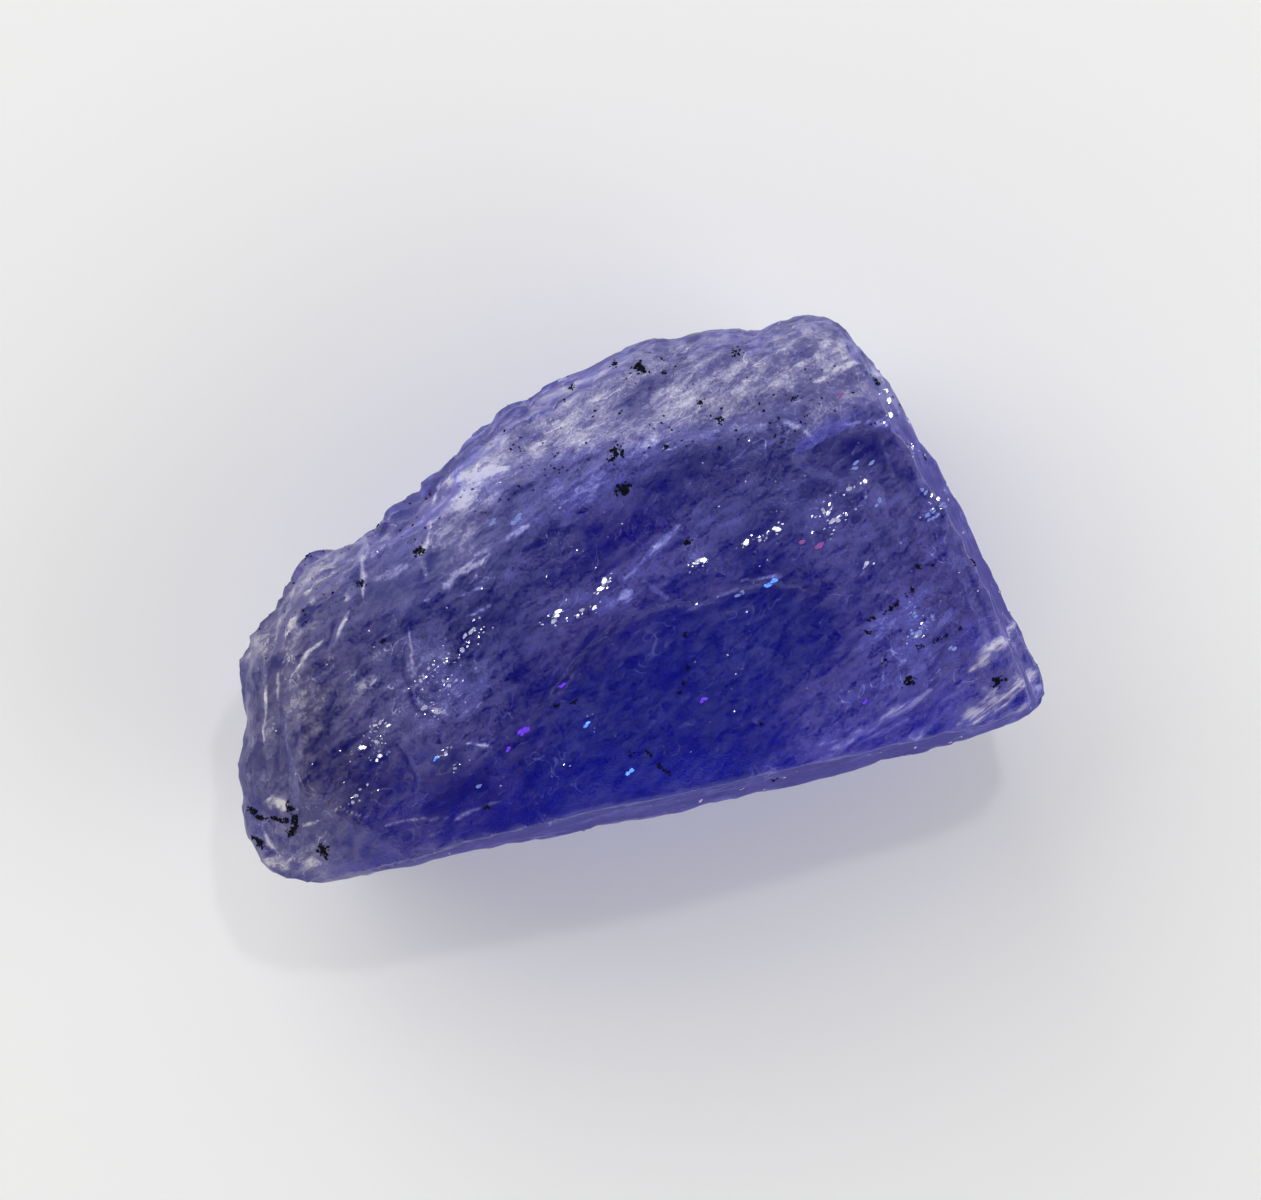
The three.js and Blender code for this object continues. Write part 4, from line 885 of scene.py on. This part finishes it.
polished = plain_finish("cleavage_glass", Base_Color=(0.75, 0.75, 0.98, 1), Roughness=0.12,
                        IOR=REFRACTIVE_INDEX, Transmission_Weight=0.6)
chips_piece = plates("cleavage_chips", chip_spots, CHIP_MM, CHIP_THICKNESS_MM, length=1.6,
                     turn_spread=0.6, stretch=0.4, seed=5, finish=polished)
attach(chips_piece, "root")

# The coloured flashes
# Painted glints: small plates on the front, coloured blue, violet and pink, that stand in for the light
# thin open cracks just under the front split off. The blue and violet ones are partly metal and also mirror
# the lamp.

# Colour of each painted glint, share of metal and roughness, then for each flash its place in the stone's
# own plan, its half length and half width along the growth lines, mm, and how many small plates it shows
PAINTED_FLASHES = {
    "blue": (
        (0.10, 0.26, 0.95), 0.6, 0.3,
        [(4.0, -0.8, 0.16, 0.03, 12), (-1.2, -3.2, 0.07, 0.03, 4), (-0.4, -4.6, 0.1, 0.05, 5),
         (-5.0, -3.2, 0.05, 0.03, 3)],
    ),
    "soft_blue": (
        (0.20, 0.25, 0.62), 0.0, 0.4,
        [(-1.75, 2.1, 0.16, 0.05, 9), (-2.37, 2.15, 0.08, 0.04, 5), (8.25, -0.05, 0.12, 0.1, 8),
         (8.59, 0.11, 0.06, 0.05, 4), (8.2, 0.58, 0.05, 0.1, 4), (7.0, 0.54, 0.12, 0.05, 4),
         (6.65, 1.54, 0.08, 0.06, 3), (7.07, 1.53, 0.05, 0.04, 2), (7.2, -2.8, 0.1, 0.12, 8),
         (7.3, -2.35, 0.05, 0.12, 4), (8.02, -3.35, 0.1, 0.1, 4), (3.2, -0.9, 0.1, 0.04, 3),
         (-4.1, -4.1, 0.08, 0.04, 3)],
    ),
    "violet": (
        (0.16, 0.05, 0.80), 0.3, 0.4,
        [(1.7, -3.25, 0.07, 0.03, 4), (-2.7, -3.0, 0.18, 0.05, 10), (-3.2, -3.35, 0.1, 0.04, 4),
         (-1.6, -2.15, 0.14, 0.02, 5), (5.6, -4.2, 0.05, 0.03, 2)],
    ),
    "pink": (
        (0.26, 0.08, 0.32), 0.0, 0.4,
        [(5.38, -0.17, 0.07, 0.02, 3), (6.74, 3.33, 0.06, 0.02, 2), (5.0, 0.0, 0.04, 0.02, 1)],
    ),
}
FLASH_PLATE_MM, FLASH_THICKNESS_MM = 0.09, 0.015
FLASH_SIZES = (0.6, 1.2)  # smallest and largest beside the plate's own
for colour_name, (colour, metal, rough, flashes) in PAINTED_FLASHES.items():
    flash_spots = []
    for x, y, half_length, half_width, count in flashes:
        for _ in range(count):
            run = drawing.uniform(-half_length, half_length)
            side = drawing.uniform(-half_width, half_width)
            lay_chip(flash_spots, *beside(x, y, run, side), drawing.uniform(*FLASH_SIZES))
    # The plates' colour is painted glint; where they are metal they also mirror the lamp, tinted
    painted_glint_finish = plain_finish(colour_name + "_painted_flash", Base_Color=(*colour, 1), Metallic=metal,
                               Roughness=rough, Specular_IOR_Level=0.1)
    flash = plates(colour_name + "_flashes", flash_spots, FLASH_PLATE_MM, FLASH_THICKNESS_MM, length=1.8,
                   turn_spread=0.4, stretch=0.3, seed=7, finish=painted_glint_finish)
    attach(flash, "root")

# The floor
# A plain pale matt table top, wide enough to fill every view. It isn't part of the object.

FLOOR_HALF = 0.6
FLOOR_DROP = 0.00003  # just below the rest face, so no two planes coincide
floor_mesh = bpy.data.meshes.new("floor")
floor_mesh.from_pydata(
    [(-FLOOR_HALF, -FLOOR_HALF, -FLOOR_DROP), (FLOOR_HALF, -FLOOR_HALF, -FLOOR_DROP),
     (FLOOR_HALF, FLOOR_HALF, -FLOOR_DROP), (-FLOOR_HALF, FLOOR_HALF, -FLOOR_DROP)],
    [], [(0, 1, 2, 3)])
floor = bpy.data.objects.new("floor", floor_mesh)
bpy.context.collection.objects.link(floor)
floor.data.materials.append(plain_finish("pale_matt", Base_Color=(0.90, 0.90, 0.89, 1), Roughness=0.9,
                                         Specular_IOR_Level=0.1))

# The light
# A soft pale surround that is dimmer straight overhead, two broad window-like lights and a small bright
# lamp. Only the surround and the lamp are mirrored in glossy faces.

world = bpy.data.worlds.new("soft_surround")
bpy.context.scene.world = world
world.use_nodes = True
sky = world.node_tree
background = sky.nodes["Background"]
heading = sky.nodes.new("ShaderNodeTexCoord")
parts = sky.nodes.new("ShaderNodeSeparateXYZ")
ramp = sky.nodes.new("ShaderNodeValToRGB")
ramp.color_ramp.elements[0].position = 0.0
ramp.color_ramp.elements[0].color = (0.35, 0.35, 0.35, 1)
ramp.color_ramp.elements[1].position = 1.0
ramp.color_ramp.elements[1].color = (0.03, 0.03, 0.03, 1)
for position, grey in ((0.12, 1.0), (0.33, 1.0), (0.5, 0.4), (0.7, 0.12)):
    ramp.color_ramp.elements.new(position).color = (grey, grey, grey, 1)
sky.links.new(heading.outputs["Generated"], parts.inputs[0])
sky.links.new(parts.outputs["Z"], ramp.inputs["Fac"])
sky.links.new(ramp.outputs["Color"], background.inputs["Color"])
background.inputs["Strength"].default_value = 1.7

LIGHT_DISTANCE = 0.40


def area_light(name, towards, size, power):
    """A square light in a direction from the stone, facing it."""
    lamp = bpy.data.lights.new(name, "AREA")
    lamp.energy = power
    lamp.size = size
    holder = bpy.data.objects.new(name, lamp)
    way = Vector(towards).normalized()
    holder.location = way * LIGHT_DISTANCE
    holder.rotation_mode = "QUATERNION"
    holder.rotation_quaternion = way.to_track_quat("Z", "Y")
    bpy.context.collection.objects.link(holder)
    return holder


for name, towards, size, power in (("broad_window", (-0.45, 0.75, 0.7), 0.45, 1.0),
                                   ("second_window", (0.9, -0.4, 0.4), 0.40, 0.6)):
    area_light(name, towards, size, power).visible_glossy = False
area_light("small_lamp", (0.25, 0.35, 1.0), size=0.021, power=0.14)

# The camera
# It looks straight down on the front, rolled so that the long lower edge rises to the right as
# photographed.

PHOTO_WIDTH, PHOTO_HEIGHT = 1261, 1200
PIXELS_PER_MM = 40.0
ROLL = math.atan2(0.2203, 0.9755)  # the long lower edge's rise in the picture
PLAN_ORIGIN_PIXEL = (605.7, 586.8)  # where the plan's origin falls in the picture
WIDEST_LEVEL = 5.6 * MM  # height of the outline that the picture's scale holds for
CAMERA_RISE = 200 * MM
SENSOR_MM = 36.0

right = Vector((math.cos(ROLL), -math.sin(ROLL), 0))
upward = Vector((math.sin(ROLL), math.cos(ROLL), 0))
aim = right * (PHOTO_WIDTH / 2 - PLAN_ORIGIN_PIXEL[0]) - upward * (PHOTO_HEIGHT / 2 - PLAN_ORIGIN_PIXEL[1])
aim = aim * MM / PIXELS_PER_MM - Vector(PLAN_CENTRE) * MM
camera_data = bpy.data.cameras.new("camera")
camera_data.sensor_width = SENSOR_MM
camera_data.lens = SENSOR_MM * CAMERA_RISE / (PHOTO_WIDTH / PIXELS_PER_MM * MM)
camera_data.clip_start = 0.01
camera = bpy.data.objects.new("camera", camera_data)
camera.location = (aim.x, aim.y, WIDEST_LEVEL + CAMERA_RISE)
camera.rotation_euler = (0, 0, -ROLL)
bpy.context.collection.objects.link(camera)
bpy.context.scene.camera = camera
bpy.context.scene.view_settings.view_transform = "Standard"
